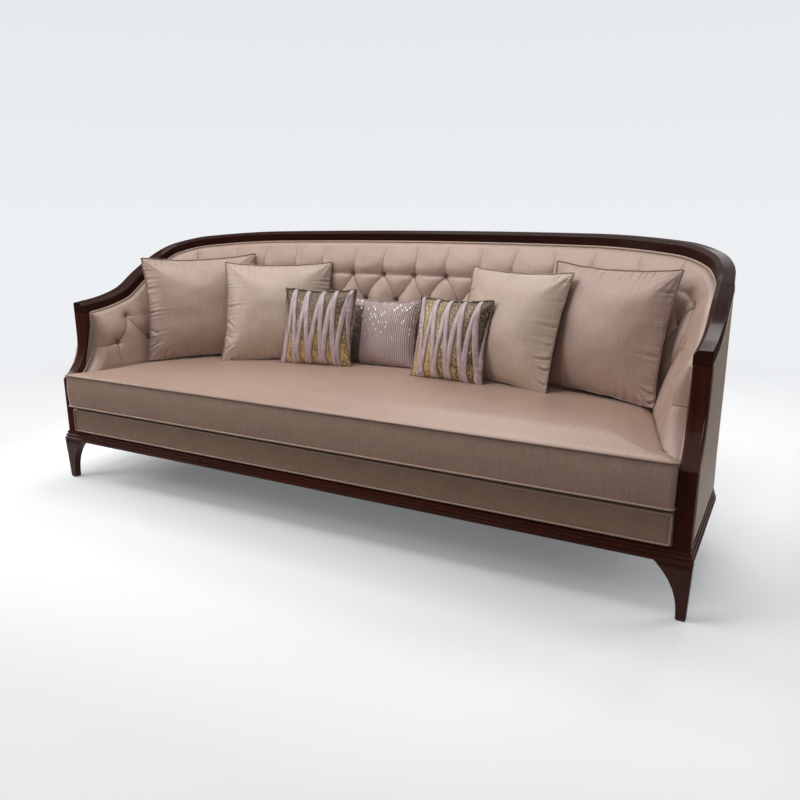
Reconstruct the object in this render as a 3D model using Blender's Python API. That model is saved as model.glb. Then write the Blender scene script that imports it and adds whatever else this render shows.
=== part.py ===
"""Four-seater sofa: a bowed, tufted shell with a show-wood rail, a loose bench cushion and seven pillows.

While the pieces are made, y = 0 is the front plane of the lower posts, the middle is x = 0
and the floor is z = 0. One parent moves them all so that the origin is the middle of the sofa's plan.
"""
import math

import bmesh
import bpy
import numpy as np
from mathutils import Matrix, Vector
from mathutils.bvhtree import BVHTree

# Sizes of the whole, in metres
half_width = 1.198
side_depth = 0.492
bow_depth = 0.415
bow_power = 2.11
arm_height = 0.709
back_height = 0.984
seat_level = 0.455
gap = 0.0003
least_step = 0.004

# How the top rail climbs: share of its half line from the arm's end, and share of the climb
rise_shares = ((0, 0), (0.06, 0.047), (0.12, 0.146), (0.18, 0.382), (0.24, 0.596),
               (0.31, 0.796), (0.4, 0.909), (0.6, 0.982), (1, 1))

# Top rail
rail_width = 0.048
rail_thickness = 0.040
rail_bevel = 0.012
rail_edge = 0.003
rail_joint_share = 0.575
arm_joint_share = 0.79
rail_step = 0.07

# Front posts
post_width = 0.046
post_depth = 0.046
post_shoulder = 0.413
post_setback = 0.084
scotia_height = 0.173
scotia_power = 2.6
post_step = 0.02
panel_rabbet = 0.005

# Base moulding and legs
leg_height = 0.162
base_height = 0.035
base_overhang = 0.011
base_front_extra = 0.004
base_width = 0.055
reed_shares = ((0.27, 1.0), (0.27, 0.74), (0.64, 0.69), (0.64, 0.40), (1.0, 0.34), (1.0, 0.0))
foot_width = 0.027
leg_depth = 0.032
leg_taper = 0.006
bracket_reach = 0.066
bracket_power = 2.5
leg_levels = 8
rear_leg_share = 0.62
support_leg_width = 0.045
support_foot_width = 0.030
glide_thickness = 0.004
glide_inset = 0.003

# Hidden frame
panel_thickness = 0.010
frame_rail_height = 0.071
cross_rail_width = 0.045
cross_rail_place = 0.62
support_leg_place = 0.47
upright_width = 0.060
upright_shares = (0.3, 0.72)
strap_width = 0.060
strap_thickness = 0.003
strap_bearing = 0.015
long_straps = 4
short_straps = 9
deck_thickness = 0.033
cover_thickness = 0.003
cover_rise = 0.008

# Front apron
apron_height = 0.090
apron_lift = 0.006
apron_thickness = 0.0125
apron_side_gap = 0.010
apron_round = 0.004
apron_cord_radius = 0.003

# Tufted pads of the back and arms
pad_edge = 0.006
pad_low_thickness = 0.158
pad_post_thickness = 0.042
pad_top_thickness = 0.048
pad_growth = 0.460
pad_roll = 0.030
pad_slack = 0.0015
pad_front_slack = 0.0045
pad_joint_share = 0.63
pad_reveal = 0.030
pad_upper_row_shares = (0.3, 0.6, 0.8, 0.93, 1)
pad_end_column_shares = (0.45, 0.8, 0.95, 1)
arm_low_rows = 3
cord_radius = 0.004
tuft_pitch = 0.1415
tuft_phase = -0.030
tuft_row_pitch = 0.090
tuft_top_row = 0.800
tuft_depth = 0.012
button_depth = 0.012
button_spread = 0.022
tuft_fall = 0.170
tuft_fall_start = 1.15
tuft_fall_end = 1.50

# Bench cushion
seat_side_gap = 0.002
seat_front = 0.022
seat_clearance = 0.003
seat_seam_height = 0.125
seat_under = 0.007
seat_crown_run = 0.120
seat_draw = 0.006
seat_cord_radius = 0.004
seat_columns = 34
seat_rows = 10
ear_join = 0.0225
seat_corner_share = 0.72

# Loose pillows
large_pillow_width = 0.450
large_pillow_height = 0.410
large_pillow_thickness = 0.125
small_pillow = 0.305
small_pillow_thickness = 0.090
center_pillow_width = 0.300
center_pillow_height = 0.270
pillow_draw_share = 0.05
pillow_crown_power = 0.45
pillow_cells = 8
pillow_clearance = 0.003
pillow_cord_radius = 0.0035
pillow_approach = 0.30
lift_height = 0.55
lift_checks = 12

# Fineness of curves and cords
outline_samples = 1500
side_samples = 200
cord_sides = 6
mitre_limit_share = 0.5
sharp_angle = 40

# Where each pillow stands: outer ones from where the side meets the bow, the next ones from the last
far_left_offset = (0.320, -0.011)
left_offset = (0.310, 0.112)
pattern_left_offset = (0.225, -0.020)
far_right_offset = (-0.428, -0.023)
right_offset = (-0.336, 0.063)
pattern_right_offset = (-0.168, 0.052)
center_offset = (-0.105, 0.174)

# Turn and lean back of each pillow, in degrees
far_left_pose = (42, 20)
left_pose = (28, 22)
pattern_left_pose = (10, 13)
center_pose = (3, 15)
pattern_right_pose = (-5, 13)
right_pose = (-19, 18)
far_right_pose = (-20, 13)

# Colour, roughness and metallic value of each finish
finishes = {
    "dark_wood": ((0.022, 0.011, 0.009), 0.12, 0.0),
    "hidden_wood": ((0.52, 0.38, 0.22), 0.70, 0.0),
    "taupe_satin": ((0.36, 0.27, 0.22), 0.48, 0.0),
    "taupe_cord": ((0.47, 0.37, 0.31), 0.45, 0.0),
    "beige_satin": ((0.34, 0.27, 0.215), 0.50, 0.0),
    "rose_satin": ((0.35, 0.25, 0.215), 0.48, 0.0),
    "gold_pattern": ((0.30, 0.21, 0.13), 0.45, 0.2),
    "lilac_pleat": ((0.38, 0.29, 0.30), 0.45, 0.0),
    "black_cloth": ((0.03, 0.03, 0.03), 0.90, 0.0),
    "webbing": ((0.16, 0.11, 0.07), 0.85, 0.0),
    "deck_cloth": ((0.20, 0.15, 0.12), 0.85, 0.0),
    "glide": ((0.06, 0.06, 0.06), 0.55, 0.0),
}

# Levels and lines that several pieces share
base_top = leg_height + base_height
frame_bottom = base_top + gap
frame_top = frame_bottom + frame_rail_height
strap_bottom = frame_top + gap
deck_bottom = strap_bottom + strap_thickness + gap
deck_top = deck_bottom + deck_thickness
soft_bottom = deck_top + gap
seam_low = soft_bottom + seat_under
seam_high = seam_low + seat_seam_height
frame_outer = panel_thickness + gap
frame_inner = post_width
pad_back = post_width + gap
base_inner = base_width - base_overhang
seat_half_width = half_width - post_width - seat_side_gap
front_end = -seat_front - gap - 2 * seat_cord_radius


def make_outline():
    """Right half of the shell's outer line, from the back's middle to the front plane."""
    angles = np.linspace(math.pi / 2, 0, outline_samples)
    x = half_width * np.clip(np.cos(angles), 0, 1) ** (2 / bow_power)
    y = side_depth + bow_depth * np.sin(angles) ** (2 / bow_power)
    side = np.linspace(side_depth, 0, side_samples)[1:]
    points = np.column_stack((np.r_[x, np.full(len(side), half_width)], np.r_[y, side]))
    steps = np.hypot(*np.diff(points, axis=0).T)
    run = np.r_[0, np.cumsum(steps)]
    tangents = np.gradient(points, run, axis=0)
    tangents[0] = (1, 0)
    normals = np.column_stack((tangents[:, 1], -tangents[:, 0]))
    return run, points, normals / np.linalg.norm(normals, axis=1)[:, None]


outline_run, outline_points, outline_normals = make_outline()
half_line = float(outline_run[-1])
arm_end = half_line - post_setback


def steps_between(start, end, step):
    count = max(1, math.ceil(abs(end - start) / step))
    return [start + (end - start) * k / count for k in range(count + 1)]


def make_stations():
    """Runs at which every piece of the wall may bend: even steps to the arm's end, then the front plane."""
    right = steps_between(0, arm_end, rail_step) + [half_line]
    return [-run for run in right[:0:-1]] + right


stations = make_stations()
station_normals = []
for station in stations:
    along = [np.interp(abs(station), outline_run, outline_normals[:, k]) for k in (0, 1)]
    station_normals.append(Vector(along).normalized())
station_points = []
for station in stations:
    spot = [np.interp(abs(station), outline_run, outline_points[:, k]) for k in (0, 1)]
    station_points.append(Vector(spot))


def between(start, end):
    """The stations that lie between two runs, with the two runs themselves, in their order."""
    low, high = min(start, end), max(start, end)
    inner = [run for run in stations if low + least_step < run < high - least_step]
    return [start] + (inner if start < end else inner[::-1]) + [end]


def place(run, inset=0):
    """Plan point at a distance along the outer line from the back's middle, moved inwards."""
    along = min(abs(run), half_line)
    k = min(int(np.searchsorted(stations, along, side="right")) - 1, len(stations) - 2)
    share = (along - stations[k]) / (stations[k + 1] - stations[k])
    near = station_points[k] + inset * station_normals[k]
    far = station_points[k + 1] + inset * station_normals[k + 1]
    spot = near.lerp(far, share)
    return (-spot.x if run < 0 else spot.x), spot.y - (abs(run) - along)


def station_value(run, function):
    """A height that runs straight from one station to the next."""
    along = min(abs(run), arm_end)
    k = min(int(np.searchsorted(stations, along, side="right")) - 1, len(stations) - 3)
    share = (along - stations[k]) / (stations[k + 1] - stations[k])
    return function(stations[k]) * (1 - share) + function(stations[k + 1]) * share


def rail_top(run):
    return station_value(run, rail_curve)


def rail_under(run):
    return station_value(run, lambda at: rail_curve(at) - rail_thickness * rail_stretch(at))


def rail_curve(run):
    """Height of the rail's top edge, a smooth climb through the rise shares."""
    share = (arm_end - min(abs(run), arm_end)) / arm_end
    at = np.array(rise_shares)
    climbs = np.diff(at[:, 1]) / np.diff(at[:, 0])
    slopes = np.r_[climbs[0], 2 * climbs[1:] * climbs[:-1] / (climbs[1:] + climbs[:-1]), 0]
    k = min(int(np.searchsorted(at[:, 0], share, side="right")) - 1, len(at) - 2)
    width = at[k + 1, 0] - at[k, 0]
    t = (share - at[k, 0]) / width
    rise = ((2 * t**3 - 3 * t**2 + 1) * at[k, 1] + (t**3 - 2 * t**2 + t) * width * slopes[k]
            + (3 * t**2 - 2 * t**3) * at[k + 1, 1] + (t**3 - t**2) * width * slopes[k + 1])
    return arm_height + (back_height - arm_height) * float(rise)


def rail_stretch(run):
    """Upright size of something square to the rail, for each unit of its own size."""
    step = rail_step / 2
    slope = (rail_curve(abs(run) - step) - rail_curve(abs(run) + step)) / (2 * step)
    return math.hypot(1, slope)


def post_front(z):
    """Distance of the post's front face behind the front plane: flat below, a scotia, then upright."""
    share = min(max((z - post_shoulder) / scotia_height, 0), 1)
    return post_setback * (1 - (1 - share) ** scotia_power)


def post_stretch(z):
    """Level size of something square to the post's front line, for each unit of its own size."""
    slope = (post_front(z + post_step) - post_front(z - post_step)) / (2 * post_step)
    return math.hypot(1, slope)


def post_levels():
    """Heights at which the post's front line bends, from the base to the rail."""
    scotia = steps_between(post_shoulder, post_shoulder + scotia_height, 2 * post_step)
    return [frame_bottom] + scotia + [rail_under(arm_end) - gap]


def clear_scene():
    for old in list(bpy.data.objects):
        bpy.data.objects.remove(old, do_unlink=True)


def make_material(name):
    colour, roughness, metallic = finishes[name]
    material = bpy.data.materials.new(name)
    material.use_nodes = True
    shader = material.node_tree.nodes["Principled BSDF"]
    shader.inputs["Base Color"].default_value = (*colour, 1)
    shader.inputs["Roughness"].default_value = roughness
    shader.inputs["Metallic"].default_value = metallic
    material.diffuse_color = (*colour, 1)
    return material


def make_parent():
    """The empty that carries every piece and centres the sofa's plan on the origin."""
    back_end = side_depth + bow_depth + base_overhang
    parent = bpy.data.objects.new("sofa", None)
    parent.location = (0, -(front_end + back_end) / 2, 0)
    bpy.context.collection.objects.link(parent)
    return parent


def add_piece(name, points, faces, finish, smooth=False):
    """One closed mesh object, in the sofa's own frame, with its faces turned outwards."""
    mesh = bpy.data.meshes.new(name)
    mesh.from_pydata([tuple(map(float, point)) for point in points], [], faces)
    work = bmesh.new()
    work.from_mesh(mesh)
    bmesh.ops.recalc_face_normals(work, faces=work.faces[:])
    if work.calc_volume(signed=True) < 0:
        bmesh.ops.reverse_faces(work, faces=work.faces[:])
    work.to_mesh(mesh)
    work.free()
    if smooth:
        mesh.shade_smooth()
        mesh.set_sharp_from_angle(angle=math.radians(sharp_angle))
    mesh.materials.append(materials[finish])
    piece = bpy.data.objects.new(name, mesh)
    piece.parent = sofa
    bpy.context.collection.objects.link(piece)
    return piece


def loft(name, rings, finish, closed=False, smooth=False):
    """A skin over rings with equal counts, capped at both ends unless it closes on itself."""
    count = len(rings[0])
    points = [point for ring in rings for point in ring]
    faces = []
    for k in range(len(rings) if closed else len(rings) - 1):
        low, high = k * count, (k + 1) % len(rings) * count
        for j in range(count):
            n = (j + 1) % count
            faces.append((low + j, low + n, high + n, high + j))
    if not closed:
        faces.append(tuple(range(count)))
        faces.append(tuple((len(rings) - 1) * count + j for j in range(count)))
    return add_piece(name, points, faces, finish, smooth)


def box(name, low, high, finish):
    corners = [(low[0], low[1]), (high[0], low[1]), (high[0], high[1]), (low[0], high[1])]
    return loft(name, [[(x, y, z) for x, y in corners] for z in (low[2], high[2])], finish)


def plate(name, outline, bottom, thickness, finish):
    return loft(name, [[(x, y, z) for x, y in outline] for z in (bottom, bottom + thickness)], finish)


def sweep(name, runs, section, finish, smooth=False):
    """Follows the shell's outer line; the section gives inset and height at each run."""
    rings = []
    for run in runs:
        rings.append([(*place(run, inset), z) for inset, z in section(run)])
    return loft(name, rings, finish, smooth=smooth)


def two_sheets(name, front, back, finish, smooth=True):
    """Closed solid between two grids of points with the same columns; the back may have fewer rows."""
    rows, columns, back_rows = len(front), len(front[0]), len(back)
    points = [point for grid in (front, back) for row in grid for point in row]
    second = rows * columns
    faces = []
    for sheet, count in ((0, rows), (second, back_rows)):
        for r in range(count - 1):
            for c in range(columns - 1):
                k = sheet + r * columns + c
                faces.append((k, k + 1, k + columns + 1, k + columns))
    for row, back_row in ((0, 0), (rows - 1, back_rows - 1)):
        for c in range(columns - 1):
            a, b = row * columns + c, second + back_row * columns + c
            faces.append((a, a + 1, b + 1, b))
    for c in (0, columns - 1):
        near = [r * columns + c for r in range(rows)]
        far = [second + r * columns + c for r in range(back_rows)]
        if rows == back_rows:
            faces += [(near[r], near[r + 1], far[r + 1], far[r]) for r in range(rows - 1)]
        else:
            faces.append(tuple(near + far[::-1]))
    return add_piece(name, points, faces, finish, smooth)


def tube(name, route, radius, finish, closed=False, across=None):
    """A round cord along a route; across gives a steady side direction for its rings."""
    rings = []
    last = len(route) - 1
    for k, middle in enumerate(route):
        before = route[k - 1] if closed or k else route[0]
        after = route[(k + 1) % len(route)] if closed or k < last else route[last]
        back_way = (Vector(middle) - Vector(before)).normalized()
        on_way = (Vector(after) - Vector(middle)).normalized()
        along = (back_way + on_way).normalized()
        side = Vector(across or (0, 0, 1))
        side = (side - along * side.dot(along)).normalized()
        other = along.cross(side)
        cosine = math.sqrt((1 + back_way.dot(on_way)) / 2) if closed or 0 < k < last else 1
        stretch = 1 / max(cosine, mitre_limit_share)
        bend = along.cross(back_way).cross(along).normalized()
        ring = []
        for j in range(cord_sides):
            turn = math.tau * j / cord_sides
            offset = radius * (math.cos(turn) * side + math.sin(turn) * other)
            offset += (stretch - 1) * offset.dot(bend) * bend
            ring.append(tuple(Vector(middle) + offset))
        rings.append(ring)
    return loft(name, rings, finish, closed=closed, smooth=True)


def rail_section(run):
    """Square outside, with a small edge, and a broad bevel along the inner top edge."""
    top, under = rail_top(run), rail_under(run)
    return [(0, under), (0, top - rail_edge), (rail_edge, top), (rail_width - rail_bevel, top),
            (rail_width, top - rail_bevel), (rail_width, under)]


def make_rails():
    back_half = rail_joint_share * arm_end
    arm_start = arm_joint_share * arm_end
    sweep("rail_back", between(-back_half + gap / 2, back_half - gap / 2), rail_section, "dark_wood")
    for side, word in ((-1, "left"), (1, "right")):
        corner = between(side * (back_half + gap / 2), side * (arm_start - gap / 2))
        sweep(f"rail_corner_{word}", corner, rail_section, "dark_wood")
        arm = between(side * (arm_start + gap / 2), side * arm_end)
        sweep(f"rail_arm_{word}", arm, rail_section, "dark_wood")


def make_posts():
    """Upright posts that carry the arm rails, rebated behind their faces for the outer panels."""
    for side, word in ((-1, "left"), (1, "right")):
        rings = []
        for z in post_levels():
            front = post_front(z)
            outer, inner = half_width, half_width - post_width
            rebate = half_width - frame_outer
            lip, back = front + panel_rabbet, front + post_depth
            corners = [(inner, front), (outer, front), (outer, lip), (rebate, lip), (rebate, back)]
            rings.append([(side * x, y, z) for x, y in corners + [(inner, back)]])
        loft(f"front_post_{word}", rings, "dark_wood")


def base_section(run):
    outer = [(-reach * base_overhang, leg_height + rise * base_height) for reach, rise in reed_shares]
    return outer + [(base_inner, leg_height), (base_inner, base_top)]


def make_base():
    """Reeded moulding all round the foot of the shell, mitred at the front corners."""
    corner = half_line + base_front_extra
    joint = rail_joint_share * arm_end
    section = base_section(0)
    rings = []
    for side in (-1, 1):
        end = [(half_width - inset - gap, inset - base_front_extra, z) for inset, z in section]
        rings.append([(side * x, y, z) for x, y, z in end])
    loft("base_front", rings, "dark_wood")
    for side, word in ((-1, "left"), (1, "right")):
        mitre = [(*place(side * (corner - inset - gap), inset), z) for inset, z in section]
        rings = [mitre]
        for run in between(half_line - base_width - gap, joint + gap / 2):
            rings.append([(*place(side * run, inset), z) for inset, z in section])
        loft(f"base_{word}", rings, "dark_wood")
    sweep("base_back", between(-joint + gap / 2, joint - gap / 2), base_section, "dark_wood")


def leg_ring(z, corner, inward, outward):
    """Four corners of a bracket leg at one height; it widens inwards like a bracket at the top."""
    share = (z - glide_thickness) / (leg_height - glide_thickness)
    outer = leg_taper * (1 - share)
    inner = leg_taper + foot_width + bracket_reach * share**bracket_power
    front = leg_taper * (1 - share)
    spots = ((outer, front), (inner, front), (inner, leg_depth), (outer, leg_depth))
    return [(corner[0] + a * inward[0] - b * outward[0], corner[1] + a * inward[1] - b * outward[1], z)
            for a, b in spots]


def make_leg(name, corner, inward, outward):
    bottom, top = glide_thickness + gap, leg_height - gap
    rings = []
    for k in range(leg_levels + 1):
        share = 1 - (1 - k / leg_levels) ** 2
        rings.append(leg_ring(bottom + share * (top - bottom), corner, inward, outward))
    loft(name, rings, "dark_wood")
    foot = leg_ring(bottom, corner, inward, outward)
    make_glide(name, [Vector(point).to_2d() for point in foot])


def make_glide(leg_name, corners):
    """A thin pad under a foot, a little smaller all round."""
    middle = sum(corners, Vector((0, 0))) / len(corners)
    reach = max((corner - middle).length for corner in corners)
    share = 1 - glide_inset / reach
    outline = [middle + (corner - middle) * share for corner in corners]
    plate(leg_name.replace("leg", "glide"), outline, 0, glide_thickness, "glide")


def make_square_leg(name, middle, top):
    bottom = glide_thickness + gap
    rings = []
    for z, width in ((bottom, support_foot_width), (top, support_leg_width)):
        h = width / 2
        turns = ((-1, -1), (1, -1), (1, 1), (-1, 1))
        rings.append([(middle[0] + a * h, middle[1] + b * h, z) for a, b in turns])
    loft(name, rings, "dark_wood")
    make_glide(name, [Vector(point).to_2d() for point in rings[0]])


def make_legs():
    front_y = -base_front_extra - base_overhang
    for side, word in ((-1, "left"), (1, "right")):
        corner = (side * (half_width + base_overhang), front_y)
        make_leg(f"leg_front_{word}", corner, (-side, 0), (0, -1))
        run = side * rear_leg_share * arm_end
        reach = foot_width + bracket_reach + leg_taper
        start, end = place(run), place(run - side * reach)
        along = (Vector(end) - Vector(start)).normalized()
        outward = Vector((along.y, -along.x)) * side
        inset_start = Vector(start) - outward * gap
        make_leg(f"leg_back_{word}", inset_start, along, outward)
    middle = base_inner - base_width / 2
    make_square_leg("leg_back_center", place(0, middle), leg_height - gap)
    cover_bottom = leg_height + cover_rise
    make_square_leg("leg_center_support", (0, support_leg_place), cover_bottom - gap)


def shell_panels():
    """Outer covers: a straight-sided one round the back and one on each arm."""
    joint = pad_joint_share * arm_end
    def section(run):
        top = rail_under(run) - gap
        return [(0, frame_bottom), (0, top), (panel_thickness, top), (panel_thickness, frame_bottom)]
    sweep("outer_back", between(-joint + gap / 2, joint - gap / 2), section, "taupe_satin", smooth=True)
    for side, word in ((-1, "left"), (1, "right")):
        sheets = []
        for inset in (0, panel_thickness):
            rows = []
            for level in post_levels():
                start = half_line - post_front(level) - panel_rabbet - gap
                row = []
                for run in [start] + between(arm_end - rail_step / 2, joint + gap / 2)[1:]:
                    top = rail_under(run) - gap
                    tip = rail_under(arm_end) - gap
                    share = (level - frame_bottom) / (tip - frame_bottom)
                    z = frame_bottom + share * (top - frame_bottom)
                    row.append((*place(side * run, inset), z))
                rows.append(row)
            sheets.append(rows)
        two_sheets(f"outer_arm_{word}", sheets[0], sheets[1], "taupe_satin")


def tuft_lattice(run, z):
    """Place in the diamond grid: columns along the wall, rows downwards from the top buttons."""
    return (run - tuft_phase) / tuft_pitch, (row_height(0, run) - z) / tuft_row_pitch


def row_height(row, run):
    """Height of a tuft row; the rows fall along the arms as the rail does."""
    share = min(max((abs(run) - tuft_fall_start) / (tuft_fall_end - tuft_fall_start), 0), 1)
    return tuft_top_row - tuft_fall * share * share * (3 - 2 * share) - row * tuft_row_pitch


def tuft_draw(run, z):
    """How far the face is drawn in: most at a button, less along the folds between buttons."""
    column, row = tuft_lattice(run, z)
    if z < seat_level:
        return 0
    if row < 0:
        fade = max(0, 1 + row * tuft_row_pitch / (rail_under(run) - row_height(0, run)))
        return tuft_depth * (1 - abs(math.sin(math.pi * column))) * fade
    p, q = column - row / 2, column + row / 2
    puff = math.sqrt(abs(math.sin(math.pi * p) * math.sin(math.pi * q)))
    across = (p - round(p) + q - round(q)) / 2 * tuft_pitch
    down = (q - round(q) - p + round(p)) * tuft_row_pitch
    button = math.exp(-(across**2 + down**2) / button_spread**2)
    fade = min(1, (z - seat_level) / (tuft_row_pitch / 2))
    return (tuft_depth * (1 - puff) + button_depth * button) * fade


def pad_top(run):
    return cord_height(run) - cord_radius * station_value(run, rail_stretch) - pad_slack


def pad_start(z):
    """Run at which the arm pad begins behind the post's face."""
    return cord_start(z) - cord_radius * post_stretch(z) - pad_front_slack


def cord_height(run):
    return rail_under(run) - (gap + cord_radius) * station_value(run, rail_stretch)


def cord_start(z):
    return half_line - post_front(z) - pad_reveal - (gap + cord_radius) * post_stretch(z)


def quarter_round(distance, radius):
    share = min(max(distance / radius, 0), 1)
    return math.sqrt(1 - (1 - share) ** 2)


def pad_inset(run, z, tufted=True):
    """Inset of the pad's face: thin at its edges, thicker towards the seat and the corner."""
    from_post = pad_start(z) - abs(run)
    growth = min(max((pad_start(soft_bottom) - abs(run)) / pad_growth, 0), 1)
    low = pad_post_thickness + (pad_low_thickness - pad_post_thickness) * growth
    climb = min(max((z - seat_level) / (pad_top(run) - seat_level), 0), 1)
    thickness = low + (pad_top_thickness - low) * climb
    roll = quarter_round(pad_top(run) - z, pad_roll) * quarter_round(from_post, pad_roll)
    draw = tuft_draw(run, z) * roll if tufted else 0
    return pad_back + pad_slack + pad_edge + (thickness - pad_edge) * roll - draw


def pad_rows(run, last_row, fill):
    """Heights of a pad's grid rows at one run, from the deck to the rail."""
    lattice = [row_height(k / 2, run) for k in range(int(2 * last_row), -1, -1)]
    lattice[0] = max(lattice[0], seat_level + tuft_row_pitch / 4)
    low = [soft_bottom, post_shoulder, seat_level]
    low += [seat_level + (lattice[0] - seat_level) * k / fill for k in range(1, fill)]
    top = pad_top(run)
    upper = [lattice[-1] + (top - lattice[-1]) * share for share in pad_upper_row_shares]
    return low + lattice + upper


def pad_piece(name, columns, heights, plain_back=False):
    """Builds a pad from its grid columns, each a function of height that gives the run."""
    front, back = [], []
    for r in range(len(heights(columns[0](seat_level)))):
        front_row, back_row = [], []
        for column in columns:
            z = heights(column(seat_level))[r]
            run = column(z)
            z = heights(run)[r]
            front_row.append((*place(run, pad_inset(run, z)), z))
            back_row.append((*place(run, pad_back + pad_slack), z))
        front.append(front_row)
        back.append(back_row)
    if plain_back:
        back = [back[0], back[-1]]
    two_sheets(name, front, back, "taupe_satin")


def lattice_runs(start, end):
    """Quarter steps of the tuft grid between two runs, with the two ends."""
    quarter = tuft_pitch / 4
    first = math.floor((start - tuft_phase) / quarter) + 1
    last = math.ceil((end - tuft_phase) / quarter) - 1
    inner = [tuft_phase + k * quarter for k in range(first, last + 1)]
    inner = [run for run in inner if start + quarter / 2 < run < end - quarter / 2]
    return [start] + inner + [end]


def make_pads():
    joint = pad_joint_share * arm_end
    runs = lattice_runs(-joint + gap / 2, joint - gap / 2)
    back_last = math.floor(2 * (tuft_top_row - seat_level) / tuft_row_pitch) / 2
    columns = [lambda z, run=run: run for run in runs]
    pad_piece("back_pad", columns, lambda run: pad_rows(run, back_last, 1), plain_back=True)
    arm_last = math.floor(2 * (tuft_top_row - tuft_fall - seat_level) / tuft_row_pitch) / 2
    for side, word in ((-1, "left"), (1, "right")):
        front = pad_start(post_shoulder + scotia_height)
        near = front - pad_roll
        ends = sorted((side * (joint + gap / 2), side * near))
        runs = lattice_runs(*ends)
        if side < 0:
            runs = runs[::-1]
        columns = [lambda z, run=run: run for run in runs]
        for share in pad_end_column_shares:
            columns.append(lambda z, share=share: side * (near + (pad_start(z) - near) * share))
        pad_piece(f"arm_pad_{word}", columns, lambda run: pad_rows(run, arm_last, arm_low_rows))


def make_rail_cord():
    """The cord that trims the pads: up one post, along under the rail and down the other post."""
    inset = post_width + gap + cord_radius
    turn = arm_end - pad_reveal - gap - 2 * cord_radius
    up = [(cord_start(z), z) for z in [soft_bottom] + post_levels()[1:-1]]
    up.append((turn + cord_radius, cord_height(turn) - cord_radius))
    along = [(run, cord_height(run)) for run in between(-turn, turn)]
    path = [(-run, z) for run, z in up] + along + up[::-1]
    route = [Vector((*place(run, inset), z)) for run, z in path]
    rings = []
    for k, (run, z) in enumerate(path):
        way = (route[min(k + 1, len(route) - 1)] - route[max(k - 1, 0)]).normalized()
        side = Vector((*place(run, inset + cord_radius), z)) - route[k]
        side = (side - way * side.dot(way)).normalized()
        other = way.cross(side)
        turns = [math.tau * j / cord_sides for j in range(cord_sides)]
        rings.append([route[k] + cord_radius * (math.cos(a) * side + math.sin(a) * other) for a in turns])
    loft("rail_cord", rings, "taupe_cord", smooth=True)


def make_frame():
    """Seat rails, cross rails, uprights, webbing, deck and dust cover inside the shell."""
    box("seat_rail_front", (-half_width + post_width + gap, apron_back() + gap, frame_bottom),
        (half_width - post_width - gap, post_depth, frame_top), "hidden_wood")
    joint = rail_joint_share * arm_end
    section = [(frame_outer, frame_bottom), (frame_outer, frame_top), (frame_inner, frame_top),
               (frame_inner, frame_bottom)]
    sweep("seat_rail_back", between(-joint + gap / 2, joint - gap / 2), lambda run: section, "hidden_wood")
    for side, word in ((-1, "left"), (1, "right")):
        runs = between(side * (half_line - post_depth - gap), side * (joint + gap / 2))
        sweep(f"seat_rail_{word}", runs, lambda run: section, "hidden_wood")
        make_cross_rail(side * cross_rail_place, word)
        for share, where in zip(upright_shares, ("back", "corner")):
            middle = side * share * arm_end
            runs = between(middle - upright_width / 2, middle + upright_width / 2)
            sweep(f"upright_{where}_{word}", runs, upright_section, "hidden_wood")
    make_cross_rail(0, "center")


def upright_section(run):
    top = rail_under(run) - gap
    low = frame_top + gap
    inner = frame_inner - strap_bearing - gap
    return [(frame_outer, low), (frame_outer, top), (inner, top), (inner, low)]


def wall_depth(x, inset):
    """Depth of an inner line of the wall at one x."""
    line = [place(run, inset) for run in stations if 0 <= run < half_line - side_depth + rail_step]
    return float(np.interp(abs(x), [spot[0] for spot in line], [spot[1] for spot in line]))


def make_cross_rail(x, word):
    half = cross_rail_width / 2
    end = wall_depth(abs(x) + half, frame_inner) - gap
    start = max(post_depth, base_inner) + gap
    low = leg_height + cover_rise + cover_thickness + gap
    box(f"cross_rail_{word}", (x - half, start, low), (x + half, end, frame_top), "hidden_wood")


def apron_back():
    return apron_thickness - base_front_extra - gap


def make_webbing():
    """Straps in one layer, sewn where they cross, each reaching on to the seat rails."""
    x_half = half_width - frame_inner + strap_bearing
    xs = strap_lines(-x_half + strap_bearing + gap, x_half - strap_bearing - gap, short_straps)
    xs = [-x_half] + xs + [x_half]
    front = post_depth - strap_bearing
    inner_front = post_depth + gap
    inner_back = side_depth
    ys = [front] + strap_lines(inner_front, inner_back, long_straps)
    rows = len(ys) + 1
    points = []
    for z in (strap_bottom, strap_bottom + strap_thickness):
        for x in xs:
            limit = min(abs(x), x_half - strap_bearing)
            back = wall_depth(limit, frame_inner - strap_bearing / 2)
            points += [(x, y, z) for y in ys + [back]]
    def solid(i, j):
        if i < 0 or j < 0 or i >= len(xs) - 1 or j >= rows - 1:
            return False
        across = 1 <= i <= len(xs) - 3 and i % 2 == 1
        along = j % 2 == 1
        inside_x = 1 <= i <= len(xs) - 3
        return across or (along and (inside_x or i in (0, len(xs) - 2)))
    layer = len(xs) * rows
    faces = []
    for i in range(len(xs) - 1):
        for j in range(rows - 1):
            if not solid(i, j):
                continue
            a, b = i * rows + j, (i + 1) * rows + j
            faces.append((a, a + 1, b + 1, b))
            faces.append((layer + a, layer + b, layer + b + 1, layer + a + 1))
            for near, one, two in ((solid(i - 1, j), a, a + 1), (solid(i + 1, j), b, b + 1),
                                   (solid(i, j - 1), a, b), (solid(i, j + 1), a + 1, b + 1)):
                if not near:
                    faces.append((one, two, layer + two, layer + one))
    used = sorted({k for face in faces for k in face})
    index = {k: n for n, k in enumerate(used)}
    add_piece("seat_webbing", [points[k] for k in used], [tuple(index[k] for k in face) for face in faces],
              "webbing")


def strap_lines(start, end, count):
    """Both edges of each of several straps spread evenly over a length."""
    free = (end - start - count * strap_width) / (count - 1)
    lines = []
    for k in range(count):
        edge = start + k * (strap_width + free)
        lines += [edge, edge + strap_width]
    return lines


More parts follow.
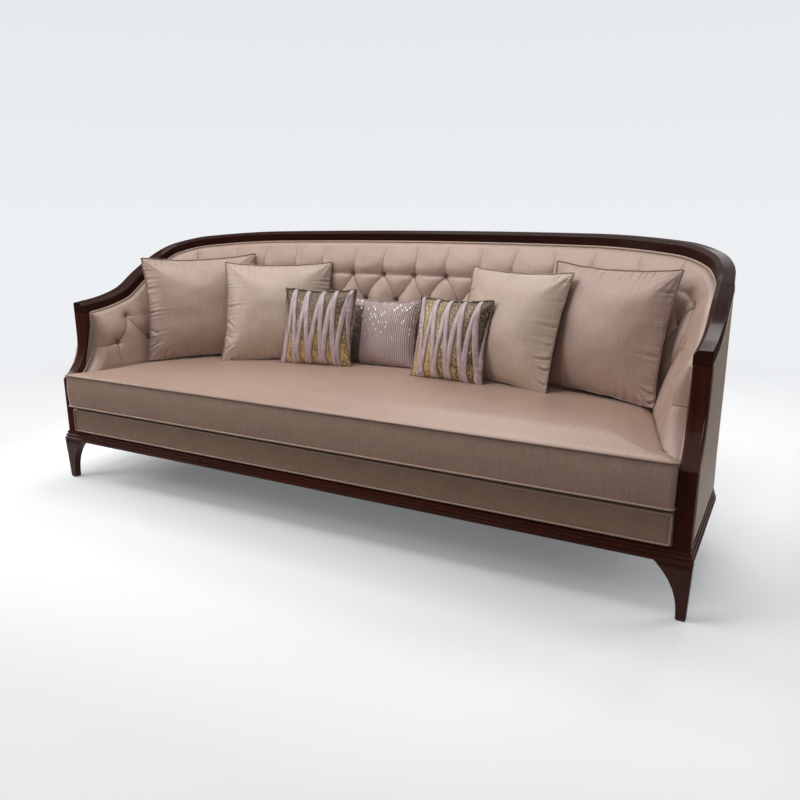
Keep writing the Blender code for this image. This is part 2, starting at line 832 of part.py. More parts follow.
def inner_plan(inset, front, start):
    """Closed outline of the space inside the wall, from a front line back round the bow."""
    line = [place(run, inset) for run in between(start - half_line, half_line - start)]
    return [(line[0][0], front)] + line + [(line[-1][0], front)]


def make_deck():
    deck = inner_plan(pad_back, apron_back() + gap, post_depth)
    plate("seat_deck", deck, deck_bottom, deck_thickness, "deck_cloth")
    cover = inner_plan(base_inner + gap, base_inner - base_front_extra + gap, base_width + rail_step)
    plate("dust_cover", cover, leg_height + cover_rise, cover_thickness, "black_cloth")


def make_apron():
    """Upholstered face below the cushion, with a cord round its edge."""
    low = base_top + apron_lift
    high = low + apron_height
    half = half_width - post_width - apron_side_gap
    face = -base_front_extra - apron_cord_radius
    back = apron_back()
    border = 2 * apron_cord_radius + gap
    rings = []
    for y, inset in ((back, 0), (face + apron_round, border), (face, border + apron_round)):
        x, bottom, top = half - inset, low + inset, high - inset
        rings.append([(-x, y, bottom), (x, y, bottom), (x, y, top), (-x, y, top)])
    step = [(x, rings[1][0][1], z) for x, _, z in rings[0]]
    loft("front_apron", [rings[0], step, rings[1], rings[2]], "taupe_satin")
    x, bottom, top = half - apron_cord_radius, low + apron_cord_radius, high - apron_cord_radius
    y = face + apron_round - gap - apron_cord_radius
    route = [(-x, y, bottom), (x, y, bottom), (x, y, top), (-x, y, top)]
    tube("apron_cord", route, apron_cord_radius, "taupe_cord", closed=True, across=(0, 1, 0))


def seat_edge(share):
    """Right edge of the cushion's plan from its front corner, past the ear, round to the back corner."""
    corner = seat_corner_share * arm_end
    start = pad_start(soft_bottom) - ear_join
    ear = Vector((seat_half_width, 0))
    join = Vector(seat_wall(start))
    front = Vector((seat_half_width, -seat_front))
    lengths = [(ear - front).length, (join - ear).length, start - corner]
    total = sum(lengths)
    run = share * total
    if run <= lengths[0]:
        return tuple(front.lerp(ear, run / lengths[0]))
    if run <= lengths[0] + lengths[1]:
        return tuple(ear.lerp(join, (run - lengths[0]) / lengths[1]))
    return seat_wall(start - (run - lengths[0] - lengths[1]))


def seat_wall(run):
    """Plan point of the cushion's side against the pads."""
    return place(run, pad_inset(run, soft_bottom, tufted=False) + seat_clearance)


def seat_edge_shares():
    """Shares of the side edge at the ear's two corners and at even steps behind them."""
    corner = seat_corner_share * arm_end
    start = pad_start(soft_bottom) - ear_join
    first = seat_front
    second = (Vector(seat_wall(start)) - Vector((seat_half_width, 0))).length
    total = first + second + start - corner
    shares = [0, first / total, (first + second) / total]
    rest = seat_rows - 2
    return shares + [shares[2] + (1 - shares[2]) * k / rest for k in range(1, rest + 1)]


def seat_grid():
    """Plan grid of the cushion, a blend of its four edges."""
    corner = seat_corner_share * arm_end
    shares = seat_edge_shares()
    grid = []
    for v in shares:
        right = Vector(seat_edge(v))
        left = Vector((-right.x, right.y))
        row = []
        for c in range(seat_columns + 1):
            u = c / seat_columns
            front = Vector((seat_half_width * (2 * u - 1), -seat_front))
            back = Vector(seat_wall(corner * (2 * u - 1)))
            side = left.lerp(right, u)
            cross = front.lerp(back, v)
            ends = Vector(seat_edge(0)), Vector(seat_edge(1))
            low = Vector((-ends[0].x, ends[0].y)).lerp(ends[0], u)
            high = Vector((-ends[1].x, ends[1].y)).lerp(ends[1], u)
            row.append(side + cross - low.lerp(high, v))
        grid.append(row)
    return grid


def seat_top(grid, r, c):
    """Height of the cushion's crowned top at one grid point."""
    rows, columns = len(grid) - 1, len(grid[0]) - 1
    spot = grid[r][c]
    near = min((spot - edge).length for edge in (grid[0][c], grid[rows][c], grid[r][0], grid[r][columns]))
    return seam_high + seat_crown() * quarter_round(near, seat_crown_run)


def seat_crown():
    return seat_level - seam_high


def make_seat():
    """Bench cushion with a crowned top, seams above and below and a slightly full front."""
    grid = seat_grid()
    rows, columns = len(grid), len(grid[0])
    points = [(*grid[r][c], seat_top(grid, r, c)) for r in range(rows) for c in range(columns)]
    faces = []
    for r in range(rows - 1):
        for c in range(columns - 1):
            k = r * columns + c
            faces.append((k, k + 1, k + columns + 1, k + columns))
    rim = [(0, c) for c in range(columns)] + [(r, columns - 1) for r in range(1, rows)]
    rim += [(rows - 1, c) for c in range(columns - 2, -1, -1)] + [(r, 0) for r in range(rows - 2, 0, -1)]
    ring = [r * columns + c for r, c in rim]
    middle = Vector((0, side_depth / 2))
    plan = [grid[r][c] for r, c in rim]
    mid_height = (seam_low + seam_high) / 2
    for z, draw in ((mid_height, 0), (seam_low, 0), (soft_bottom, seat_under)):
        start = len(points)
        for spot, (r, c) in zip(plan, rim):
            pull = (middle - spot).normalized() * draw
            full = -seat_draw if z == mid_height and r == 0 and 0 < c < columns - 1 else 0
            points.append((spot.x + pull.x, spot.y + pull.y + full, z))
        new = list(range(start, start + len(plan)))
        for k in range(len(ring)):
            n = (k + 1) % len(ring)
            faces.append((ring[k], ring[n], new[n], new[k]))
        ring = new
    faces.append(tuple(ring))
    return add_piece("seat_cushion", points, faces, "taupe_satin", smooth=True)


def make_seat_cords():
    """Piping along the cushion's front seams, in front of its face."""
    reach = seat_half_width - seat_cord_radius
    y = -seat_front - gap - seat_cord_radius
    for z, word in ((seam_high - seat_cord_radius, "top"), (seam_low + seat_cord_radius, "bottom")):
        route = [(x, y, z) for x in np.linspace(-reach, reach, 3)]
        tube(f"seat_cord_{word}", route, seat_cord_radius, "taupe_cord")


def pillow_rim(width, height):
    """Rim points in the pillow's own plane, with corners that stand out between drawn-in sides."""
    n = pillow_cells
    edge = [(k / n * 2 - 1, -1) for k in range(n)] + [(1, k / n * 2 - 1) for k in range(n)]
    edge += [(1 - k / n * 2, 1) for k in range(n)] + [(-1, 1 - k / n * 2) for k in range(n)]
    return [pillow_plane(u, v, width, height) for u, v in edge]


def pillow_plane(u, v, width, height):
    x = width / 2 * u * (1 - pillow_draw_share * (1 - v * v))
    y = height / 2 * v * (1 - pillow_draw_share * (1 - u * u))
    return x, y


def pillow_mesh(width, height, thickness):
    """A knife-edged pillow: two crowned faces that share their rim."""
    n = pillow_cells
    points, faces = [], []
    index = {}
    for side in (1, -1):
        for i in range(n + 1):
            for j in range(n + 1):
                u, v = i / n * 2 - 1, j / n * 2 - 1
                rim = i in (0, n) or j in (0, n)
                if rim and side < 0:
                    index[(side, i, j)] = index[(1, i, j)]
                    continue
                crown = ((1 - u**2) * (1 - v**2)) ** pillow_crown_power if not rim else 0
                index[(side, i, j)] = len(points)
                points.append((*pillow_plane(u, v, width, height), side * thickness / 2 * crown))
        for i in range(n):
            for j in range(n):
                corners = ((i, j), (i + 1, j), (i + 1, j + 1), (i, j + 1))
                faces.append(tuple(index[(side, *corner)] for corner in corners))
    return points, faces


def pillow_frame(place_at, turn, lean):
    """Moves a pillow's own plane to its place: width along, height up and leaning back."""
    turn, lean = math.radians(turn), math.radians(lean)
    across = Vector((math.cos(turn), math.sin(turn), 0))
    back = Vector((-math.sin(turn), math.cos(turn), 0))
    up = Vector((0, 0, 1)) * math.cos(lean) + back * math.sin(lean)
    face = across.cross(up)
    matrix = Matrix((across, up, face)).transposed().to_4x4()
    matrix.translation = Vector(place_at)
    return matrix, back


def samples_of(piece):
    points = [piece.matrix_local @ vertex.co for vertex in piece.data.vertices]
    return solid_samples(points, [list(face.vertices) for face in piece.data.polygons])


def solid_samples(points, faces):
    """Search tree of a solid, with its corners and the middles of its edges and faces."""
    spots = list(points)
    for face in faces:
        corners = [points[k] for k in face]
        spots.append(sum(corners, Vector()) / len(corners))
        spots += [(corners[k - 1] + corner) / 2 for k, corner in enumerate(corners)]
    return BVHTree.FromPolygons(points, faces), spots


def free_travel(points, faces, obstacles, way, shift):
    """Least distance that a shifted solid and its obstacles can close along one direction."""
    best = math.inf
    own, own_spots = solid_samples([point + shift for point in points], faces)
    for tree, spots in obstacles:
        for line, starts, target in ((way, own_spots, tree), (-way, spots, own)):
            for start in starts:
                hit = target.ray_cast(start, line)
                if hit[0] is not None:
                    best = min(best, hit[3])
    return best


def cord_rings(rim, radius):
    """Rings of a closed cord just outside a flat rim, mitred at its corners."""
    rings = []
    offset = radius + gap
    for k, spot in enumerate(rim):
        before, here, after = Vector(rim[k - 1]), Vector(spot), Vector(rim[(k + 1) % len(rim)])
        one, two = (here - before).normalized(), (after - here).normalized()
        out = (Vector((one.y, -one.x)) + Vector((two.y, -two.x))).normalized()
        stretch = 1 / max(out.dot(Vector((one.y, -one.x))), mitre_limit_share)
        ring = []
        for j in range(cord_sides):
            turn = math.tau * j / cord_sides
            level = here + out * stretch * (offset - radius * math.cos(turn))
            ring.append((level.x, level.y, radius * math.sin(turn)))
        rings.append(ring)
    return rings


def solid_of(rings):
    """Points and faces of a closed run of rings."""
    count = len(rings[0])
    faces = []
    for k in range(len(rings)):
        low, high = k * count, (k + 1) % len(rings) * count
        faces += [(low + j, low + (j + 1) % count, high + (j + 1) % count, high + j) for j in range(count)]
    return [point for ring in rings for point in ring], faces


def place_pillow(name, size, finish, spot, pose, behind, corded=True):
    """Stands a pillow on the cushion and slides it back until it leans on what is behind it."""
    width, height, thickness = size
    local, faces = pillow_mesh(width, height, thickness)
    cord, cord_faces = [], []
    if corded:
        cord, cord_faces = solid_of(cord_rings(pillow_rim(width, height), pillow_cord_radius))
    matrix, back = pillow_frame((*spot, seat_level + height), *pose)
    matrix.translation -= back * pillow_approach
    every = [matrix @ Vector(point) for point in local + cord]
    every_face = faces + [tuple(k + len(local) for k in face) for face in cord_faces]
    down = Vector((0, 0, -1))
    lifts = [Vector((0, 0, lift_height * k / lift_checks)) for k in range(lift_checks)]
    drop = (down, [seat_solid], [Vector()], gap)
    for way, obstacles, shifts, clear in (drop, (back, behind, lifts, pillow_clearance), drop):
        travel = min(free_travel(every, every_face, obstacles, way, shift) for shift in shifts)
        move = way * (travel - clear)
        every = [point + move for point in every]
        matrix.translation += move
    piece = add_piece(name, local, faces, finish, smooth=True)
    piece.matrix_local = matrix
    if corded:
        ring = add_piece(name + "_cord", cord, cord_faces, "taupe_cord", smooth=True)
        ring.matrix_local = matrix
    return solid_samples(every, every_face)


def make_pillows():
    """Seven pillows, placed from the outer ones inwards because each leans on the one before it."""
    pads = [samples_of(bpy.data.objects[name]) for name in ("back_pad", "arm_pad_left", "arm_pad_right")]
    large = (large_pillow_width, large_pillow_height, large_pillow_thickness)
    small = (small_pillow, small_pillow, small_pillow_thickness)
    center = (center_pillow_width, center_pillow_height, small_pillow_thickness)
    far_left_spot = Vector((-half_width, side_depth)) + Vector(far_left_offset)
    left_spot = far_left_spot + Vector(left_offset)
    pattern_left_spot = left_spot + Vector(pattern_left_offset)
    far_right_spot = Vector((half_width, side_depth)) + Vector(far_right_offset)
    right_spot = far_right_spot + Vector(right_offset)
    pattern_right_spot = right_spot + Vector(pattern_right_offset)
    center_spot = Vector((0, side_depth)) + Vector(center_offset)
    far_left = place_pillow("pillow_far_left", large, "rose_satin", far_left_spot, far_left_pose, pads)
    behind = pads + [far_left]
    left = place_pillow("pillow_left", large, "beige_satin", left_spot, left_pose, behind)
    behind = pads + [left, far_left]
    spot, pose = pattern_left_spot, pattern_left_pose
    place_pillow("pillow_pattern_left", small, "gold_pattern", spot, pose, behind, corded=False)
    far_right = place_pillow("pillow_far_right", large, "rose_satin", far_right_spot, far_right_pose, pads)
    behind = pads + [far_right]
    right = place_pillow("pillow_right", large, "beige_satin", right_spot, right_pose, behind)
    behind = pads + [right, far_right]
    spot, pose = pattern_right_spot, pattern_right_pose
    place_pillow("pillow_pattern_right", small, "gold_pattern", spot, pose, behind, corded=False)
    place_pillow("pillow_center", center, "lilac_pleat", center_spot, center_pose, pads, corded=False)


clear_scene()
materials = {name: make_material(name) for name in finishes}
sofa = make_parent()
make_legs()
make_base()
make_posts()
make_rails()
shell_panels()
make_frame()
make_webbing()
make_deck()
make_apron()
make_pads()
make_rail_cord()
seat = make_seat()
seat_solid = samples_of(seat)
make_seat_cords()
make_pillows()
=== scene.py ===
"""Looks of a bow-backed sofa: fine wood, tufted pads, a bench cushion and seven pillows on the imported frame."""

import math

import bmesh
import bpy
import numpy as np
from mathutils import Matrix, Vector


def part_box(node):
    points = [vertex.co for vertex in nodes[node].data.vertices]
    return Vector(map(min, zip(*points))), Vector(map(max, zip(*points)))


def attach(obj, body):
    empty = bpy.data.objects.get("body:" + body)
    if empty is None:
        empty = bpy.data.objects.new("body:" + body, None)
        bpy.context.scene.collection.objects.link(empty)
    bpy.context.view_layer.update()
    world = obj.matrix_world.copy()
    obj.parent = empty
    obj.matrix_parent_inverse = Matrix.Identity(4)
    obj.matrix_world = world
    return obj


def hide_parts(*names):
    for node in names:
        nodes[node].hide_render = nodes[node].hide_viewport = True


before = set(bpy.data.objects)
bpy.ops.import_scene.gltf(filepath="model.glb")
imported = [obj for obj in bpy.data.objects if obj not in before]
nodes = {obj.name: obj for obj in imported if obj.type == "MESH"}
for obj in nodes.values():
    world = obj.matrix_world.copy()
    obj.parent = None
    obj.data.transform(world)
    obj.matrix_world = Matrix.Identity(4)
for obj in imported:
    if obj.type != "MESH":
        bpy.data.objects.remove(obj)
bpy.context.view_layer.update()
scene = bpy.context.scene

both_sides = ((-1, "left"), (1, "right"))

# Sizes shared with the solids, in metres
half_width = 1.198
side_depth = 0.492
bow_depth = 0.415
bow_power = 2.11
middle_y = 0.44385
arm_height = 0.709
back_height = 0.984
rise_shares = ((0, 0), (0.06, 0.047), (0.12, 0.146), (0.18, 0.382), (0.24, 0.596), (0.31, 0.796),
               (0.4, 0.909), (0.6, 0.982), (1, 1))
rail_width = 0.048
rail_thickness = 0.040
rail_bevel = 0.012
rail_joint_share = 0.575
arm_joint_share = 0.79
post_width = 0.046
post_depth = 0.046
post_shoulder = 0.413
post_setback = 0.084
scotia_height = 0.173
scotia_power = 2.6
panel_thickness = 0.010
post_lip = 0.022
gap = 0.0003
leg_height = 0.162
base_height = 0.035
base_overhang = 0.011
base_front = 0.004
base_width = 0.055
leg_depth = 0.032
leg_taper = 0.006
foot_width = 0.027
bracket_reach = 0.066
bracket_power = 2.5
rear_leg_share = 0.62
glide_thickness = 0.004
soft_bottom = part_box("seat_cushion")[0].z
seat_level = 0.455
seam_low = soft_bottom + 0.004
seam_high = soft_bottom + 0.132
cord_radius = 0.004
pad_back = post_width + gap + 0.0015
pad_edge = 0.0075
pad_low_thickness = 0.158
pad_post_thickness = 0.042
pad_top_thickness = 0.048
pad_growth = 0.460
pad_roll = 0.030
pad_slope = 0.115
pad_reveal = 0.030
pad_joint_share = 0.63
seat_front = 0.022
seat_half_width = 1.150
frame_bottom = leg_height + base_height + gap

# Tufting: columns of the top buttons as distances along the wall from the back's middle
tuft_columns = (-1.571, -1.424, -1.262, -1.104, -0.908, -0.759, -0.613, -0.466, -0.319, -0.171, -0.025, 0.122,
                0.268, 0.420, 0.582, 0.748, 0.927, 1.104, 1.262, 1.424, 1.571)
tuft_top = 0.806
tuft_pitch = 0.099
tuft_fall = 0.169
tuft_last = 1.643
fold_depth = 0.026
fold_reach = 0.030
button_radius = 0.0065
button_sunk = 0.0018
# Beyond these runs: no lower buttons, no pleat up from a button; and how far a crease reaches sideways
tuft_arm, tuft_upright, tuft_reach = 1.45, 1.2, 0.11
# Distance from a crease where none is near
no_fold = 0.05

# Pillows: cloth to spare in the cut sheets, their crown before blowing up, the patterned pair's place
sheet_spare = 1.03
sheet_crown = 0.022
pattern_setback = 0.012


def outline():
    """Outer line of the wall from the back's middle to the front plane: runs, points, inward normals."""
    angles = np.linspace(math.pi / 2, 0, 1500)
    x = half_width * np.clip(np.cos(angles), 0, 1) ** (2 / bow_power)
    y = side_depth + bow_depth * np.sin(angles) ** (2 / bow_power)
    side = np.linspace(side_depth, 0, 200)[1:]
    points = np.column_stack((np.r_[x, np.full(len(side), half_width)], np.r_[y, side]))
    run = np.r_[0, np.cumsum(np.hypot(*np.diff(points, axis=0).T))]
    tangents = np.gradient(points, run, axis=0)
    tangents[0] = (1, 0)
    normals = np.column_stack((tangents[:, 1], -tangents[:, 0]))
    return run, points, normals / np.linalg.norm(normals, axis=1)[:, None]


line_run, line_points, line_normals = outline()
half_line = float(line_run[-1])
arm_end = half_line - post_setback
pad_joint = pad_joint_share * arm_end


def wall(run, inset, z):
    """Points of the wall at runs along its outer line, moved inwards by an inset, at heights z."""
    run, inset, z = np.broadcast_arrays(*(np.asarray(v, float) for v in (run, inset, z)))
    along = np.minimum(np.abs(run), half_line)
    x, y = (np.interp(along, line_run, line_points[:, k]) for k in (0, 1))
    across, inward = (np.interp(along, line_run, line_normals[:, k]) for k in (0, 1))
    x = (x + inset * across) * np.where(run < 0, -1, 1)
    y = y + inset * inward - (np.abs(run) - along)
    return np.stack((x, y - middle_y, z), -1)


def rail_top(run):
    """Height of the rail's top, a smooth climb from the arm to the back."""
    share = (arm_end - np.minimum(np.abs(run), arm_end)) / arm_end
    at = np.array(rise_shares)
    climbs = np.diff(at[:, 1]) / np.diff(at[:, 0])
    slopes = np.r_[climbs[0], 2 * climbs[1:] * climbs[:-1] / (climbs[1:] + climbs[:-1]), 0]
    k = np.clip(np.searchsorted(at[:, 0], share, side="right") - 1, 0, len(at) - 2)
    width = at[k + 1, 0] - at[k, 0]
    t = (share - at[k, 0]) / width
    rise = ((2 * t**3 - 3 * t**2 + 1) * at[k, 1] + (t**3 - 2 * t**2 + t) * width * slopes[k]
            + (3 * t**2 - 2 * t**3) * at[k + 1, 1] + (t**3 - t**2) * width * slopes[k + 1])
    return arm_height + (back_height - arm_height) * rise


def rail_stretch(run):
    step = 0.02
    slope = (rail_top(np.abs(run) - step) - rail_top(np.abs(run) + step)) / (2 * step)
    return np.hypot(1, slope)


def rail_under(run):
    return rail_top(run) - rail_thickness * rail_stretch(run)


def post_front(z):
    """Distance of the post's face behind the front plane, with its lower edge eased."""
    z = np.asarray(z, float)[..., None] + np.linspace(-0.002, 0.002, 9)
    share = np.clip((z - post_shoulder) / scotia_height, 0, 1)
    return (post_setback * (1 - (1 - share) ** scotia_power)).mean(-1)


def smoothstep(value, low=0.0, high=1.0):
    t = np.clip((np.asarray(value, float) - low) / (high - low), 0, 1)
    return t * t * (3 - 2 * t)


def quarter_round(distance, radius):
    share = np.clip(distance / radius, 0, 1)
    return np.sqrt(1 - (1 - share) ** 2)


def value_noise(x, y, scale, seed):
    """Smooth noise between -1 and 1 over a plane, the same on every run."""
    rng = np.random.default_rng(seed)
    table = rng.uniform(-1, 1, (64, 64))
    x, y = np.asarray(x, float) / scale, np.asarray(y, float) / scale
    i, j = np.floor(x).astype(int), np.floor(y).astype(int)
    u, v = smoothstep(x - i), smoothstep(y - j)
    a, b = table[i % 64, j % 64], table[(i + 1) % 64, j % 64]
    c, d = table[i % 64, (j + 1) % 64], table[(i + 1) % 64, (j + 1) % 64]
    return (a * (1 - u) + b * u) * (1 - v) + (c * (1 - u) + d * u) * v


class Nodes:
    """A node tree, built one node at a time."""

    def __init__(self, tree):
        self.tree = tree

    def fill(self, node, inputs):
        for key, value in inputs.items():
            if isinstance(value, bpy.types.NodeSocket):
                self.tree.links.new(value, node.inputs[key])
            else:
                node.inputs[key].default_value = value

    def add(self, kind, inputs=None, **settings):
        node = self.tree.nodes.new("ShaderNode" + kind)
        for key, value in settings.items():
            setattr(node, key, value)
        self.fill(node, inputs or {})
        return node.outputs

    def math(self, operation, a, b=0.0, c=0.0):
        return self.add("Math", {0: a, 1: b, 2: c}, operation=operation)[0]

    def times(self, value, *others):
        for other in others:
            value = self.math("MULTIPLY", value, other)
        return value

    def total(self, first, *others):
        """Sum of values, each times its weight."""
        out = self.times(*first)
        for value, weight in others:
            out = self.math("MULTIPLY_ADD", value, weight, out)
        return out

    def scaled_uv(self, along, across, turn=0.0):
        uv = self.add("UVMap", uv_map="cloth")[0]
        return self.add("Mapping", {"Vector": uv, "Scale": (along, across, 1), "Rotation": (0, 0, turn)})[0]

    def noise(self, vector, detail=2.0, roughness=0.5, scale=1.0):
        inputs = {"Vector": vector, "Scale": scale, "Detail": detail, "Roughness": roughness}
        return self.add("TexNoise", inputs)[0]

    def grain(self, along, across, detail=2.0, roughness=0.5, turn=0.0):
        """Noise over the cloth coordinates, stretched by its two scales."""
        return self.noise(self.scaled_uv(along, across, turn), detail, roughness)

    def ramp(self, value, low, high):
        return self.add("MapRange", {0: value, 1: low, 2: high, 3: 0.0, 4: 1.0}, clamp=True)[0]

    def between(self, share, low, high):
        return self.add("MapRange", {0: share, 3: low, 4: high})[0]

    def mix(self, share, *colours):
        a, b = ((*colour, 1) if isinstance(colour, tuple) else colour for colour in colours)
        return self.add("Mix", {0: share, 6: a, 7: b}, data_type="RGBA")[2]

    def seen(self):
        """1 for rays that should meet the pale background: camera, gloss and clear glass."""
        path = self.add("LightPath")
        both = self.math("MAXIMUM", path["Is Camera Ray"], path["Is Glossy Ray"])
        return self.math("MAXIMUM", both, path["Is Transmission Ray"])

    def bump(self, height, distance, strength=1.0, below=None):
        inputs = {"Height": height, "Distance": distance, "Strength": strength}
        if below is not None:
            inputs["Normal"] = below
        return self.add("Bump", inputs)[0]


class Finish(Nodes):
    """A material on one principled shader."""

    def __init__(self, name, roughness=0.5):
        self.material = bpy.data.materials.new(name)
        self.material.use_nodes = True
        super().__init__(self.material.node_tree)
        self.shader = self.tree.nodes["Principled BSDF"]
        self.put({"Roughness": roughness})

    def put(self, inputs):
        self.fill(self.shader, inputs)


def scaled(colour, share):
    return tuple(share * c for c in colour)


def cloth_finish(name, light, dark, shine, painted_crease_shade=False):
    """Satin with slubs along the warp, a fine weave and a soft mottling; on request a painted shade darkens the
    colour along each crease.
    """
    roughness = 0.42
    f = Finish(name, roughness)
    f.put({"Sheen Weight": 0.20, "Sheen Roughness": 0.40, "Sheen Tint": (*shine, 1),
           "Specular IOR Level": 1.0, "Specular Tint": (*shine, 1)})
    slubs, picks, fine = f.grain(270, 13, 3), f.grain(16, 330), f.grain(900, 520)
    cloud, mottle = f.grain(7, 5), f.grain(150, 70, 3, turn=0.5)
    share = f.total((fine, 0.16), (slubs, 0.34), (picks, 0.12), (cloud, 0.16), (mottle, 0.22))
    colour = f.mix(f.ramp(share, 0.39, 0.61), dark, light)
    height = f.total((picks, 0.5), (slubs, 0.8), (fine, 0.7), (mottle, 0.8))
    normal = f.bump(height, 0.0006, 0.45)
    if painted_crease_shade:
        # Painted shade: the colour is darkened along each crease, read from the fold attribute
        fold = f.add("Attribute", attribute_name="fold")[2]
        line = f.math("POWER", 2.718, f.times(fold, fold, -1 / 0.0029**2))
        colour = f.mix(f.times(line, 0.95), colour, scaled(dark, 0.12))
        normal = f.bump(f.times(line, -1.0), 0.0016, 0.8, normal)
    f.put({"Base Color": colour, "Normal": normal,
           "Roughness": f.between(fine, roughness - 0.05, roughness + 0.07)})
    return f.material


def wood_finish(name, light, dark, coat=0.0):
    """Timber with grain along the piece; the show wood is polished dark with a painted highlight on its edges,
    the frame timber raw.
    """
    f = Finish(name)
    long_grain, pores, band = f.grain(3.2, 95, 5, 0.6), f.grain(26, 620), f.grain(1.1, 14)
    share = f.ramp(f.total((band, 0.5), (long_grain, 0.6)), 0.38, 0.72)
    pores = f.times(f.ramp(pores, 0.55, 0.75), 0.45)
    colour = f.mix(pores, f.mix(share, dark, light), scaled(dark, 0.45))
    if coat:
        # Painted highlight: convex edges are painted lighter
        edge_highlight = f.ramp(f.add("NewGeometry")["Pointiness"], 0.53, 0.62)
        colour = f.mix(f.times(edge_highlight, 0.35), colour, scaled(light, 1.7))
        f.put({"Coat Weight": coat, "Coat Roughness": 0.02, "Coat IOR": 1.42, "Specular IOR Level": 0.06,
               "Roughness": f.between(f.grain(9, 9), 0.22, 0.38),
               "Normal": f.bump(f.grain(12, 30, 1), 0.0004, 0.25)})
    else:
        f.put({"Roughness": f.between(long_grain, 0.6, 0.8), "Normal": f.bump(long_grain, 0.0008, 0.5)})
    f.put({"Base Color": colour})
    return f.material


def plain_cloth(name, light, dark, threads, roughness=0.85):
    """Coarse utility cloth: two crossing sets of threads over a mottled ground."""
    f = Finish(name, roughness)
    position = f.add("TexCoord")["Object"]
    wave = {"Vector": position, "Scale": threads, "Distortion": 1}
    weave = f.math("MAXIMUM", *(f.add("TexWave", wave, bands_direction=way)[1] for way in "XY"))
    cloud = f.noise(position, 3, 0.5, 25)
    f.put({"Base Color": f.mix(f.total((cloud, 0.5), (weave, 0.5)), dark, light),
           "Normal": f.bump(weave, 0.001, 0.6),
           "Roughness": f.between(cloud, roughness - 0.08, roughness + 0.08)})
    return f.material


def gold_pattern(name, gold_share, lean_down, lean_side):
    """Sequins in gold and dark brown with painted glints on some, with raised zigzag ribbons of lilac satin."""
    f = Finish(name)
    uv = f.scaled_uv(1, 1)
    along, up, _ = f.add("SeparateXYZ", {0: uv})
    cell = f.add("TexVoronoi", {"Vector": uv, "Scale": 380.0, "Randomness": 0.9})
    tint, glint, fleck = f.add("SeparateColor", {0: cell["Color"]})
    pick = f.total((f.grain(30, 16, 3), 0.9), (tint, 0.50), (up, -lean_down), (along, -lean_side))
    gold = f.mix(f.ramp(up, -0.06, 0.13), (0.60, 0.390, 0.150), (0.24, 0.165, 0.060))
    ground = f.mix(f.ramp(pick, gold_share - 0.05, gold_share + 0.05), (0.042, 0.020, 0.012), gold)
    # Painted glints: random sequins in the gold areas are painted near white gold
    bright = f.times(f.ramp(glint, 0.66, 0.80), f.ramp(pick, gold_share - 0.02, gold_share + 0.10))
    ground = f.mix(f.times(bright, 0.8), ground, (0.88, 0.68, 0.36))
    ground = f.mix(f.times(f.ramp(fleck, 0.72, 0.80), 0.7), ground, (0.30, 0.205, 0.080))
    ribbon = f.add("Attribute", attribute_name="ribbon")[2]
    share = f.ramp(ribbon, -0.0005, 0.0005)
    pile = f.grain(420, 300, 3)
    lilac = f.mix(f.ramp(f.total((f.grain(60, 20, 3), 0.60), (pile, 0.40)), 0.36, 0.64),
                  (0.360, 0.262, 0.272), (0.660, 0.515, 0.525))
    edge = f.times(f.ramp(f.math("ABSOLUTE", ribbon), 0.0022, 0.0003), 0.55)
    sequins = f.bump(f.mix(share, cell["Distance"], pile), 0.0010, 0.5)
    rise = f.math("SUBTRACT", 1.0, f.ramp(ribbon, 0.0, 0.010))
    rise = f.math("SQRT", f.math("SUBTRACT", 1.0, f.times(rise, rise)))
    f.put({"Base Color": f.mix(edge, f.mix(share, ground, lilac), (0.07, 0.040, 0.032)),
           "Metallic": f.times(f.math("SUBTRACT", 1.0, share), 0.25),
           "Roughness": f.between(share, 0.36, 0.34), "Specular IOR Level": 0.6,
           "Sheen Weight": 0.08, "Sheen Roughness": 0.3, "Sheen Tint": (0.95, 0.88, 0.96, 1),
           "Normal": f.bump(f.times(rise, share), 0.0040, 1.0, sequins)})
    return f.material


